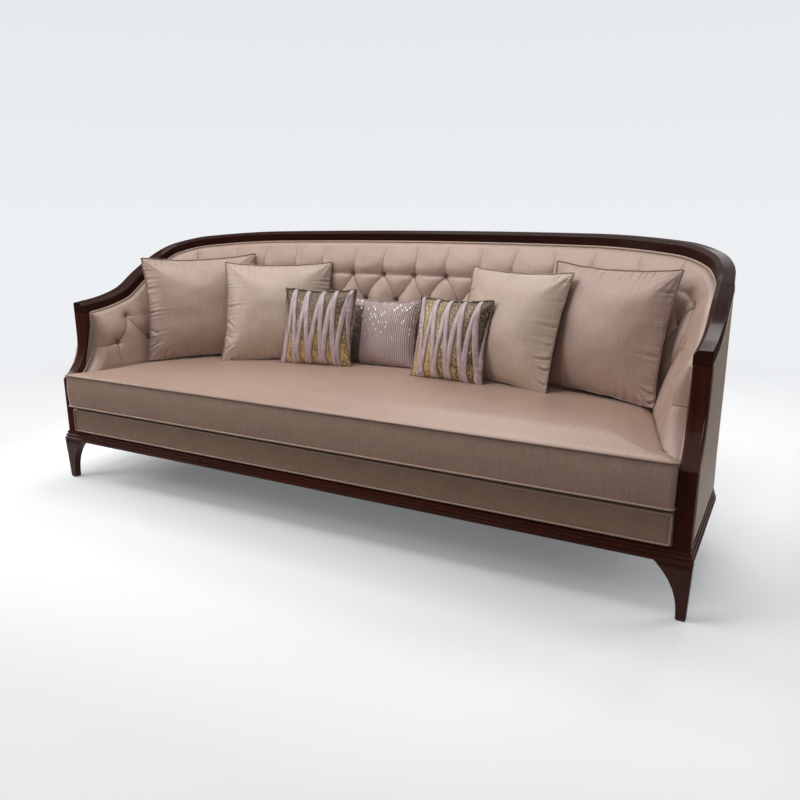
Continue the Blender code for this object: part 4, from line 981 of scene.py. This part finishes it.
def make_apron():
    """The padded face below the cushion, with its wide self-welt; its satin is painted darker for the shade under
    the cushion.
    """
    low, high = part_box("front_apron")
    cord_low, cord_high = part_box("apron_cord")
    x_half, z0, z1 = high.x + 0.0010, low.z + 0.006, high.z - 0.0045
    across, down = (np.linspace(0, 1, count, endpoint=False)[:, None] for count in (240, 16))

    def ring(y, inset):
        x, bottom, top = x_half - inset, z0 + inset, z1 - inset
        ends = np.array([(-x, bottom), (x, bottom), (x, top), (-x, top)])
        spots = np.concatenate([start + (end - start) * shares for start, end, shares in zip(
            ends, np.roll(ends, -1, 0), (across, down, across, down))])
        return np.stack((spots[:, 0], np.full(len(spots), y), spots[:, 1]), -1)

    rings = [ring(high.y, -0.006), ring(low.y + 0.004, -0.006), ring(low.y + 0.003, 0.0)]
    for t in np.linspace(0, 1, 10)[1:]:
        swell = ring(low.y + 0.0025 * (1 - quarter_round(t, 1.0)), 0.0005 + 0.030 * t)
        swell[:, 1] += 0.0005 * value_noise(swell[:, 0], swell[:, 2], 0.05, 21)
        rings.append(swell)
    piece = skin("front_apron_cover", rings, "apron_satin", replaces=["front_apron"])
    rise, radius = 0.001, (cord_high.y - cord_low.y) / 2
    middle = (cord_low + cord_high) / 2
    middle.z += rise
    x, z = cord_high.x - radius + 0.0075, (cord_high.z - cord_low.z) / 2 - radius + rise
    route = rounded([(-x, -z), (x, -z), (x, z), (-x, z)], (0.004,) * 4, 5)
    route = even_route([(x, middle.y, middle.z + z) for x, z in route], 0.005, closed=True)
    tube("apron_welt", route, radius * 1.12, "taupe_cord", closed=True, replaces=["apron_cord"])


def seat_outline():
    """Half of the cushion's plan: from its front's middle round the right side to its back's middle."""
    start = float(pad_start(np.array(soft_bottom))) - 0.0225
    runs = np.linspace(start, 0, 500)
    side = wall(runs, pad_inset(runs, np.full_like(runs, soft_bottom), tufted=False) + 0.003, 0)[:, :2]
    front = np.array([(0, -seat_front), (seat_half_width, -seat_front), (seat_half_width, 0)]) - (0, middle_y)
    points = even_route(np.r_[front, side], 0.003)
    reach = 6
    window = np.hanning(2 * reach + 1)
    window /= window.sum()
    padded = np.r_[points[reach:0:-1] * (-1, 1), points, points[-1:].repeat(reach, 0)]
    smooth = np.stack([np.convolve(values, window, "valid") for values in padded.T], -1)
    smooth[0, 0] = 0
    smooth[-1] = points[-1]
    return smooth


def seat_plan():
    """Plan of the cushion's top as a grid from front to back, with each point's distance from the rim."""
    half = seat_outline()
    lengths = lengths_along(half)
    front_end = lengths[np.argmax(half[:, 0] > seat_half_width - 0.004)]
    corner = lengths[-1] - 0.86
    columns, rows = 240, 96
    front, right, back = (points_at(np.linspace(start, end, steps + 1), lengths, half) for start, end, steps in (
        (0, front_end, columns // 2), (front_end, corner, rows), (lengths[-1], corner, columns // 2)))
    front, back = (np.r_[(line * (-1, 1))[:0:-1], line] for line in (front, back))
    left = right * (-1, 1)
    u = np.linspace(0, 1, columns + 1)[None, :, None]
    v = np.linspace(0, 1, rows + 1)[:, None, None]
    plan = (left[:, None] * (1 - u) + right[:, None] * u + front[None] * (1 - v) + back[None] * v
            - ((left[0] * (1 - u) + right[0] * u) * (1 - v) + (left[-1] * (1 - u) + right[-1] * u) * v))
    near = np.full(plan.shape[:2], 9.0)
    for spot in np.r_[front, right[1:], back[-2::-1], left[-2:0:-1]][::2]:
        near = np.minimum(near, np.hypot(plan[..., 0] - spot[0], plan[..., 1] - spot[1]))
    near[0] = near[-1] = 0
    near[:, 0] = near[:, -1] = 0
    return plan, near


def seat_height(x, y, near):
    """Height of the cushion's top: rolled at its edge, fullest behind the front, with a light unevenness."""
    from_front = y + seat_front + middle_y
    rear = smoothstep(from_front, 0.06, 0.34)
    edge = (0.45 * (1 - (1 - np.clip(near / (0.080 - 0.040 * rear), 0, 1)) ** 3)
            + 0.55 * (1 - (1 - np.clip(near / (0.28 - 0.15 * rear), 0, 1)) ** 3))
    crown = (seat_level - seam_high) * edge
    crown += 0.007 * smoothstep(from_front, 0.26, 0.52) * smoothstep(near, 0, 0.12)
    bulge = smoothstep(from_front, 0, 0.17) * (1 - smoothstep(from_front, 0.08, 0.46))
    crown += 0.010 * bulge * smoothstep(near, 0, 0.14)
    uneven = 0.0016 * value_noise(x, y, 0.34, 8) + 0.0005 * value_noise(x, y, 0.13, 9)
    pucker = 0.0010 * value_noise(x, y * 0.2, 0.021, 10) * np.exp(-near / 0.03)
    return seam_high - 0.001 + crown + (uneven + pucker - 0.0025) * smoothstep(near, 0, 0.05)


def make_seat():
    """Bench cushion: crowned top, a soft boxed border and piping round both seams."""
    plan, near = seat_plan()
    top = np.concatenate((plan, seat_height(plan[..., 0], plan[..., 1], near)[..., None]), -1)
    points = top.reshape(-1, 3)
    index = np.arange(len(points)).reshape(near.shape)
    faces = corners_of(index).reshape(-1, 4).tolist()
    rim = np.r_[index[0], index[1:, -1], index[-1, -2::-1], index[-2:0:-1, 0]]
    line = points[rim][:, :2]
    around = lengths_along(line, closed=True)
    outward = level_normals(line)
    is_front = smoothstep(-(line[:, 1] + middle_y), 0.006, 0.020)[:, None]
    levels = np.linspace(seam_high - 0.003, seam_low + 0.003, 26)
    spreads = []
    for level in levels:
        full = 0.0055 * math.sin(math.pi * (seam_high - level) / (seam_high - seam_low)) ** 0.8
        spreads.append((full + 0.0009 * value_noise(around[:-1], level, 0.045, 14)[:, None]) * is_front)
    spreads.append(-0.007 + 0.0009 * value_noise(around[:-1], soft_bottom, 0.045, 14)[:, None] * is_front)
    levels = np.r_[levels, soft_bottom]

    def ring(spread, level):
        return np.c_[line + outward * spread, np.full(len(line), level)]

    rings = [ring(spread, level) for spread, level in zip(spreads, levels)]
    border = np.vstack((rim, len(points) + np.arange(len(levels) * len(rim)).reshape(len(levels), -1)))
    faces += corners_of(np.c_[border, border[:, :1]]).reshape(-1, 4).tolist()
    faces.append(border[-1, ::-1].tolist())
    border_uv = np.stack(np.meshgrid(around, np.r_[seam_high, levels]), -1)
    uv = np.r_[corners_of(plan).reshape(-1, 2), corners_of(border_uv).reshape(-1, 2), rings[-1][::-1, :2]]
    piece = add_piece("seat_cushion_cover", np.concatenate((points, *rings)), faces, "taupe_satin",
                      body="seat_cushion", replaces=["seat_cushion"], uv=uv)
    # The top piping takes the darker cord: painted shade along the seam
    for level, word, finish in ((seam_high - 0.0030, "top", "seam_cord"),
                                (seam_low + 0.0025, "bottom", "taupe_cord")):
        route = even_route(ring(0.0005 + 0.0032 * is_front, level), 0.006, closed=True)
        tube(f"seat_piping_{word}", route, 0.0034, finish, closed=True, sides=10, body="seat_cushion",
             replaces=[f"seat_cord_{word}"])


pillows = {
    "far_left": dict(size=(0.480, 0.447, 0.125), pose=(42, 20, -1.5), lift=0.018, finish="rose_satin", seed=1,
                     tucks=((-0.97, -0.42, -45, 0.20), (-0.97, -0.74, 12, 0.22), (-0.70, -0.97, 70, 0.14))),
    "left": dict(size=(0.457, 0.432, 0.125), pose=(28, 22, 0), lift=0.012, finish="beige_satin", seed=2,
                 tucks=((-0.98, -0.22, -50, 0.26), (-0.98, -0.50, -35, 0.16), (-0.98, -0.80, 25, 0.24))),
    "pattern_left": dict(size=(0.308, 0.312, 0.088), pose=(10, 15, 0), lift=0.014, finish="gold_pattern",
                         seed=3),
    "center": dict(size=(0.300, 0.272, 0.090), pose=(3, 15, 0), lift=0.0, finish="lilac_pleat", seed=4),
    "pattern_right": dict(size=(0.300, 0.304, 0.088), pose=(-5, 15, 0), lift=0.016, finish="gold_pattern",
                          seed=5),
    "right": dict(size=(0.454, 0.424, 0.125), pose=(-19, 18, 0), lift=0.004, finish="beige_satin", seed=6,
                  tucks=((0.98, -0.44, 184, 0.26), (0.98, -0.62, 172, 0.17), (0.98, -0.86, 160, 0.20))),
    "far_right": dict(size=(0.474, 0.438, 0.125), pose=(-20, 13, 0.9), lift=0.014, finish="rose_satin", seed=7,
                      tucks=((0.97, -0.80, 160, 0.24), (0.98, -0.92, 185, 0.14), (0.80, -0.98, 100, 0.14))),
}


def pillow_frame(name, turn, lean, roll, lift):
    """Matrix of a pillow's own plane at the middle of its solid."""
    turn, lean, roll = math.radians(turn), math.radians(lean), math.radians(roll)
    across = Vector((math.cos(turn), math.sin(turn), 0))
    back = Vector((-math.sin(turn), math.cos(turn), 0))
    up = Vector((0, 0, 1)) * math.cos(lean) + back * math.sin(lean)
    across, up = across * math.cos(roll) - up * math.sin(roll), across * math.sin(roll) + up * math.cos(roll)
    matrix = Matrix((across, up, across.cross(up))).transposed().to_4x4()
    low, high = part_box(name)
    matrix.translation = (low + high) / 2 + up * lift
    if "pattern" in name:
        matrix.translation += back * pattern_setback
    return matrix


def sewn_sheets(width, height, cells, seed):
    """Two square sheets sewn at their rim: cut shape, sewn shape, faces and cloth coordinates."""
    index = np.zeros((2, cells + 1, cells + 1), int)
    cut, sewn, own_uv = [], [], []
    for number, side in enumerate((1, -1)):
        for i in range(cells + 1):
            for j in range(cells + 1):
                rim = i in (0, cells) or j in (0, cells)
                if rim and side < 0:
                    index[number, i, j] = index[0, i, j]
                    continue
                index[number, i, j] = len(cut)
                u, v = i / cells * 2 - 1, j / cells * 2 - 1
                x, y = width / 2 * u, height / 2 * v
                cut.append((x * sheet_spare, y * sheet_spare, 0))
                wave = float(value_noise(i + 40 * (j == 0), j, 3.0, seed)) * 0.0022
                draw_x, draw_y = 1 - 0.075 * (1 - v * v), 1 - 0.075 * (1 - u * u)
                crown = ((1 - u * u) * (1 - v * v)) ** 0.5
                sewn.append((x * draw_x + wave * rim, y * draw_y + wave * rim, side * sheet_crown * crown))
                own_uv.append((x, y))
    front, back = index
    faces = np.r_[corners_of(front.T).transpose(1, 0, 2).reshape(-1, 4),
                  corners_of(back.T).transpose(1, 0, 2).reshape(-1, 4)[:, ::-1]].tolist()
    rim = np.r_[front[:-1, 0], front[-1, :-1], front[:0:-1, -1], front[0, :0:-1]].tolist()
    return np.array(cut), np.array(sewn), faces, np.array(own_uv), rim


def inflate(name, cut, sewn, faces, rim, pressure, frames):
    """Blows up two sewn sheets by cloth simulation with their rim held, and returns the settled points."""
    mesh = bpy.data.meshes.new(name + "_work")
    mesh.from_pydata(sewn.tolist(), [], faces)
    work = add_object(name + "_work", mesh)
    work.shape_key_add(name="Basis")
    key = work.shape_key_add(name="cut")
    key.data.foreach_set("co", cut.ravel())
    key.value = 0
    held = work.vertex_groups.new(name="rim")
    held.add(rim, 1.0, "REPLACE")
    cloth = work.modifiers.new("Cloth", "CLOTH")
    settings = cloth.settings
    for option, value in dict(
            rest_shape_key=key, vertex_group_mass="rim", quality=7, mass=0.25, tension_stiffness=18,
            compression_stiffness=18, shear_stiffness=6, bending_stiffness=0.6, tension_damping=8,
            compression_damping=8, shear_damping=8, use_pressure=True, uniform_pressure_force=pressure).items():
        setattr(settings, option, value)
    settings.effector_weights.gravity = 0
    cloth.collision_settings.use_collision = False
    cloth.point_cache.frame_start, cloth.point_cache.frame_end = 1, frames
    for number in range(1, frames + 1):
        scene.frame_set(number)
    result = work.evaluated_get(bpy.context.evaluated_depsgraph_get()).to_mesh()
    points = read(result.vertices, "co", 3)
    scene.frame_set(1)
    bpy.data.objects.remove(work)
    return points


def ribbon_distance(x, y, size, mirrored):
    """Signed distance into a zigzag ribbon that climbs and falls five times across the cover."""
    u, v = x / size[0] + 0.5, y / size[1] + 0.5
    rng = np.random.default_rng(29 if mirrored else 17)
    spots = []
    for k in range(-1, 6):
        spots.append((0.035 + 0.2 * k + rng.uniform(-0.012, 0.012), rng.uniform(-0.06, -0.01)))
        spots.append((0.150 + 0.2 * k + rng.uniform(-0.012, 0.012), rng.uniform(0.98, 1.04)))
    if mirrored:
        spots = [(1 - a, b) for a, b in spots]
    best = np.full_like(u, -1.0)
    for k, ((u0, v0), (u1, v1)) in enumerate(zip(spots, spots[1:])):
        t = (v - v0) / (v1 - v0)
        middle = u0 + (u1 - u0) * t + 0.008 * np.sin(3.1 * t + k) * np.sin(math.pi * np.clip(t, 0, 1))
        width = 0.040 + 0.022 * (1 - smoothstep(v, 0, 0.14)) - 0.006 * smoothstep(v, 0.75, 1)
        width = width + 0.003 * np.sin(7.0 * v + 2.1 * k)
        best = np.maximum(best, (width - np.abs(u - middle)) * size[0])
    return best


def ripple(along, length, seed):
    """Irregular smooth waves of about the given length, the same on every run."""
    rng = np.random.default_rng(seed)
    total = np.zeros(np.shape(along))
    for stretch, phase in zip(rng.uniform(0.6, 1.6, 6), rng.uniform(0, math.tau, 6)):
        total = total + np.sin(math.tau * along / (length * stretch) + phase)
    return total / 2.4


def puckers(spots, side, width, height, seed, tucks):
    """Small folds that run in from the seam, some longer tucks, and a soft unevenness."""
    x, y = spots.T
    from_x, from_y = width / 2 - np.abs(x), height / 2 - np.abs(y)
    near = np.maximum(np.minimum(from_x, from_y), 0)
    upright = from_x < from_y
    along = np.where(upright, y, x)
    edge = seed * 8 + 4 * upright + 2 * (np.where(upright, x, y) > 0) + (side > 0)
    folds = np.zeros(len(x))
    for number in np.unique(edge):
        here = edge == number
        group = 0.55 + 0.45 * ripple(along[here], 0.12, int(number) + 500)
        for depth, length, more, reach in ((0.0013, 0.011, 0, 0.013), (0.0015, 0.026, 90, 0.034)):
            waves = ripple(along[here], length, int(number) + more)
            folds[here] += depth * group * waves * np.exp(-near[here] / reach)
    fade = smoothstep(np.abs(from_x - from_y), 0, 0.02)
    reach = np.hypot(from_x, from_y)
    turn = np.arctan2(from_y, from_x) * 2 / math.pi
    corner = seed * 8 + 4 * (x > 0) + 2 * (y > 0) + (side > 0)
    rays = np.zeros(len(x))
    for number in np.unique(corner):
        here = corner == number
        rays[here] = ripple(turn[here], 0.28, int(number) + 200)
    folds = folds * fade + 0.0030 * rays * (reach / 0.03) * np.exp(-reach / 0.03)
    for u, v, angle, length in tucks:
        way = np.array((math.cos(math.radians(angle)), math.sin(math.radians(angle))))
        step = x - u * width / 2, y - v * height / 2
        ahead = (step[0] * way[0] + step[1] * way[1]) / (length * width / 2)
        off = step[0] * way[1] - step[1] * way[0] + 0.004 * np.sin(3 * ahead)
        share = np.clip(1 - ahead, 0, 1) ** 0.8 * (ahead > -0.4)
        folds -= 0.0050 * share * (np.exp(-(off / 0.0042) ** 2) - 0.7 * np.exp(-((off - 0.010) / 0.007) ** 2))
    soft = 0.0026 * value_noise(x, y + side, 0.12, seed + 33)
    soft += 0.0010 * value_noise(x, y + side, 0.045, seed + 34)
    scale = width / 0.45
    return scale * (folds * smoothstep(near, 0, 0.006) + soft * smoothstep(near, 0, 0.07))


def smoothed(piece, rim):
    """The piece's mesh divided twice, with the seam along its rim kept crisp."""
    mesh = piece.data
    pairs = {frozenset(pair) for pair in zip(rim, rim[1:] + rim[:1])}
    crease = mesh.attributes.new("crease_edge", "FLOAT", "EDGE")
    crease.data.foreach_set("value", [float(frozenset(edge.vertices) in pairs) for edge in mesh.edges])
    smooth = piece.modifiers.new("smooth", "SUBSURF")
    smooth.levels = smooth.render_levels = 2
    smooth.uv_smooth = "NONE"
    done = bpy.data.meshes.new_from_object(piece.evaluated_get(bpy.context.evaluated_depsgraph_get()))
    piece.modifiers.clear()
    return done


def make_pillow(name, size, pose, lift, finish, seed, tucks=()):
    """One pillow: cloth blown up inside its own edge, laid where its solid is, with its edge trim."""
    width, height, thickness = size
    patterned = finish == "gold_pattern"
    on_right = "right" in name
    cut, sewn, faces, own_uv, rim = sewn_sheets(width, height, 48 if patterned else 40, seed)
    points = inflate(name, cut, sewn, faces, rim, 3.0 if width > 0.4 else 4.0, 26)
    points[:, 2] *= thickness / 2 / np.abs(points[:, 2]).max()
    mesh = bpy.data.meshes.new(name)
    mesh.from_pydata(points.tolist(), [], faces)
    store(mesh.uv_layers.new(name="cloth").data, "uv", own_uv[np.ravel(faces)])
    piece = add_object(f"{name}_cover", mesh)
    piece.data = done = smoothed(piece, rim)
    co, normals = read(done.vertices, "co", 3), read(done.vertices, "normal", 3)
    uv = np.zeros((len(co), 2))
    uv[read(done.loops, "vertex_index", kind=int)] = read(done.uv_layers["cloth"].data, "uv", 2)
    lift_out = puckers(uv, np.sign(co[:, 2]), width, height, seed, tucks)
    if patterned:
        inside = ribbon_distance(uv[:, 0], uv[:, 1], size, on_right)
        dome = 1 - np.clip(inside / 0.010, 0, 1)
        lift_out = lift_out + 0.0030 * np.sqrt(1 - dome**2) * (inside > 0)
        store(done.attributes.new("ribbon", "FLOAT", "POINT").data, "value", inside)
    matrix = pillow_frame(name, *pose, lift)

    def placed(spots):
        return spots @ np.array(matrix.to_3x3()).T + np.array(matrix.translation)

    world = placed(co + normals * lift_out[:, None])
    floor_z = seat_level + 0.002
    drop = min(0.0, floor_z - 0.006 - float(world[:, 2].min()))
    z = world[:, 2] + drop
    world[:, 2] = np.where(z < floor_z, floor_z + (z - floor_z) * 0.1, z)
    done.vertices.foreach_set("co", world.ravel())
    done.update()
    done.shade_smooth()
    done.materials.clear()
    done.materials.append(finishes["gold_pattern_right" if patterned and on_right else finish])
    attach(piece, name)
    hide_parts(name)
    route = even_route(points[rim], 0.005, closed=True)
    radius = 0.0032 if patterned else 0.0024
    route[:, :2] += level_normals(route) * radius * 0.6
    route = placed(route)
    route[:, 2] = np.maximum(route[:, 2] + drop, floor_z + radius * 0.5)
    if patterned:
        tube(name + "_edge", route, radius, "gold_edge", closed=True, lumps=0.45, seed=seed, body=name)
    elif finish == "lilac_pleat":
        tube(name + "_edge", route, 0.0018, "lilac_pleat", closed=True, body=name)
    else:
        # The satin pillows' piping takes the darker cord finish: painted shade along the seam
        tube(name + "_piping", route, radius, finish.replace("satin", "cord"), closed=True, body=name,
             replaces=[name + "_cord"])


def dress_frame():
    """Gives the carried-over solids of the hidden frame their finishes."""
    for piece in nodes.values():
        data = piece.data
        finish = data.materials[0].name.split(".")[0] if data.materials else "hidden_wood"
        if finish not in ("hidden_wood", "webbing", "deck_cloth", "black_cloth", "glide"):
            continue
        if "cloth" not in data.uv_layers:
            layer = data.uv_layers.new(name="cloth")
            x, y, z = np.array([v.co for v in data.vertices]).T
            flat = (x, y + z) if np.ptp(x) >= np.ptp(y) else (y, x + z)
            store(layer.data, "uv", np.stack(flat, -1)[read(data.loops, "vertex_index", kind=int)])
        for slot in piece.material_slots:
            slot.material = finishes[finish]


def make_stage():
    """Pale floor that keeps the shadow and fades into a pale background; an emission seen only by the camera
    paints extra light on it.
    """
    sides = 96
    turns = np.linspace(0, math.tau, sides, endpoint=False)
    rings = 1 + np.arange(3 * sides).reshape(3, sides)
    rings = np.c_[rings, rings[:, :1]]
    faces = [[0, a, b] for a, b in zip(rings[0].tolist(), rings[0, 1:].tolist())]
    faces += corners_of(rings)[..., [0, 3, 2, 1]].reshape(-1, 4).tolist()
    points = [(0, 0, 0)] + [(r * math.cos(a), r * math.sin(a), 0) for r in (3, 6, 14) for a in turns]
    mesh = bpy.data.meshes.new("floor")
    mesh.from_pydata(points, [], faces)
    floor = add_object("floor", mesh)
    f = Finish("floor", 0.9)
    position = f.add("NewGeometry")["Position"]
    distance = f.add("VectorMath", {0: position}, operation="LENGTH")[1]
    pale = f.mix(f.noise(position, 2, 0.5, 1.5), (0.865, 0.880, 0.895), (0.875, 0.890, 0.905))
    x, y, _ = f.add("SeparateXYZ", {0: position})
    apart = f.math("ABSOLUTE", x)
    # Painted light: the floor glows for the camera, most beside the sofa, less near and under it, a band in
    # front, little far in front, none far to the sides
    beside = f.times(f.times(f.ramp(apart, 1.05, 1.35), f.ramp(apart, 1.90, 1.45)),
                     f.times(f.ramp(y, -0.75, -0.30), f.ramp(y, 1.20, 0.60)))
    glow = f.mix(beside, (0.137, 0.139, 0.142), (0.260, 0.266, 0.272))
    glow = f.mix(f.ramp(y, -0.45, -0.72), glow, (0.200, 0.204, 0.210))
    glow = f.mix(f.ramp(y, -0.95, -1.45), glow, (0.055, 0.058, 0.063))
    glow = f.mix(f.ramp(apart, 1.40, 2.00), glow, (0.0, 0.0, 0.0))
    f.put({"Base Color": f.mix(f.seen(), (0.24, 0.23, 0.22), pale), "Specular IOR Level": 0.0,
           "Emission Color": f.mix(f.seen(), (0.0, 0.0, 0.0), glow), "Emission Strength": 1.0})
    clear = f.add("BsdfTransparent")[0]
    both = f.add("MixShader", {0: f.ramp(distance, 1.8, 3.8), 1: f.shader.outputs[0], 2: clear})[0]
    f.fill(f.tree.nodes["Material Output"], {0: both})
    mesh.materials.append(f.material)


def make_world():
    """Pale paper for the rays that see the background, a dimmer room for the light it gives."""
    world = bpy.data.worlds.new("studio")
    scene.world = world
    world.use_nodes = True
    w = Nodes(world.node_tree)
    up = w.add("SeparateXYZ", {0: w.add("TexCoord")["Generated"]})[2]
    paper = w.mix(w.ramp(up, -0.02, 0.26), (0.850, 0.870, 0.895), (0.785, 0.815, 0.840))
    w.fill(w.tree.nodes["Background"], {0: w.mix(w.seen(), (0.17, 0.175, 0.185), paper)})


def make_lights():
    """Lamps: name, place, target, size, power and colour."""
    warm_white, white, spark = (1.0, 0.98, 0.96), (1, 1, 1), (0.10, 0.10)
    for name, spot, target, size, power, colour in (
            ("top", (-0.2, 0.45, 2.9), (-0.1, 0.1, 0.4), (1.8, 1.2), 12, (1.0, 0.97, 0.94)),
            ("key", (-3.3, -2.8, 2.8), (0.5, 0, 0.6), (1.8, 1.5), 54, warm_white),
            ("left", (-4.4, -0.2, 2.1), (0.9, 0, 0.6), (2.0, 1.3), 50, warm_white),
            ("fill", (1.6, -3.4, 1.5), (0.3, 0, 0.4), (1.4, 1.2), 8, (1.0, 0.90, 0.85)),
            ("side", (4.0, 2.4, 1.8), (1.1, 0, 0.4), (1.8, 1.3), 50, white),
            ("back", (0.0, 2.7, 3.0), (0, -0.3, 0.45), (3.4, 1.8), 58, warm_white),
            ("above", (-0.7, -1.0, 3.1), (0.1, 0.1, 0.6), (1.8, 0.8), 31, warm_white),
            ("spark_left", (-1.6, 0.6, 2.8), (-0.8, 0.2, 0.9), spark, 2.0, white),
            ("spark_middle", (-0.9, 0.55, 3.0), (0.2, 0.4, 0.95), spark, 2.0, white),
            ("spark_right", (1.3, 1.4, 2.8), (1.1, 0, 0.8), spark, 2.0, white)):
        lamp = bpy.data.lights.new(name, "AREA")
        lamp.shape = "RECTANGLE"
        lamp.size, lamp.size_y = size
        lamp.energy, lamp.color = power, colour
        holder = add_object(name, lamp)
        holder.location = spot
        holder.rotation_euler = (Vector(target) - Vector(spot)).to_track_quat("-Z", "Y").to_euler()
        holder.visible_camera = False
    scene.view_settings.view_transform = "Standard"


def make_flags():
    """Dark cards round the set that only gloss reflects, so that polished wood keeps its depth."""
    f = Finish("flag", 1.0)
    cloud = f.noise(f.add("TexCoord")["Object"], 3, 0.5, 1.3)
    f.put({"Base Color": f.mix(cloud, (0.035, 0.028, 0.025), (0.085, 0.070, 0.062))})
    for name, spot, turn, (x, y) in (("flag_back", (-1.0, 3.6, 1.6), (90, 0, 0), (5.0, 2.0)),
                                     ("flag_left", (-4.4, 0.3, 1.6), (90, 0, 90), (3.4, 2.0)),
                                     ("flag_right", (4.4, 0.3, 1.6), (90, 0, 90), (3.4, 2.0)),
                                     ("flag_front", (0.0, -2.6, 0.012), (0, 0, 0), (4.0, 1.9)),
                                     ("flag_camera", (0.5, -4.8, 1.4), (90, 0, 0), (5.0, 1.8)),
                                     ("flag_side", (2.9, 1.4, 0.012), (0, 0, 0), (1.5, 2.0))):
        mesh = bpy.data.meshes.new(name)
        mesh.from_pydata([(-x, -y, 0), (x, -y, 0), (x, y, 0), (-x, y, 0)], [], [(0, 1, 2, 3)])
        mesh.materials.append(f.material)
        card = add_object(name, mesh)
        card.location = spot
        card.rotation_euler = tuple(math.radians(angle) for angle in turn)
        card.visible_camera = card.visible_diffuse = card.visible_transmission = card.visible_shadow = False


def make_camera():
    """Camera at the photograph's place: lens, height, turn, tilt and a trace of roll."""
    yaw, pitch, roll = math.radians(28.629), math.radians(13.980), math.radians(-0.205)
    ahead = Vector((-math.sin(yaw) * math.cos(pitch), math.cos(yaw) * math.cos(pitch), -math.sin(pitch)))
    right = Vector((math.cos(yaw), math.sin(yaw), 0))
    up = right.cross(ahead)
    right, up = math.cos(roll) * right + math.sin(roll) * up, -math.sin(roll) * right + math.cos(roll) * up
    camera = bpy.data.cameras.new("camera")
    camera.sensor_width = 36
    camera.sensor_fit = "HORIZONTAL"
    camera.lens = 36 * 737.48 / 800
    holder = add_object("camera", camera)
    matrix = Matrix((right, up, -ahead)).transposed().to_4x4()
    matrix.translation = (1.3806, -2.34125, 1.0414)
    holder.matrix_world = matrix
    scene.camera = holder


for make in (make_rails, make_posts, make_base, make_legs, make_outer_covers, make_pads, make_buttons,
             make_rail_cord, make_apron, make_seat):
    make()
for word, values in pillows.items():
    make_pillow(f"pillow_{word}", **values)
for make in (dress_frame, make_stage, make_world, make_lights, make_flags, make_camera):
    make()
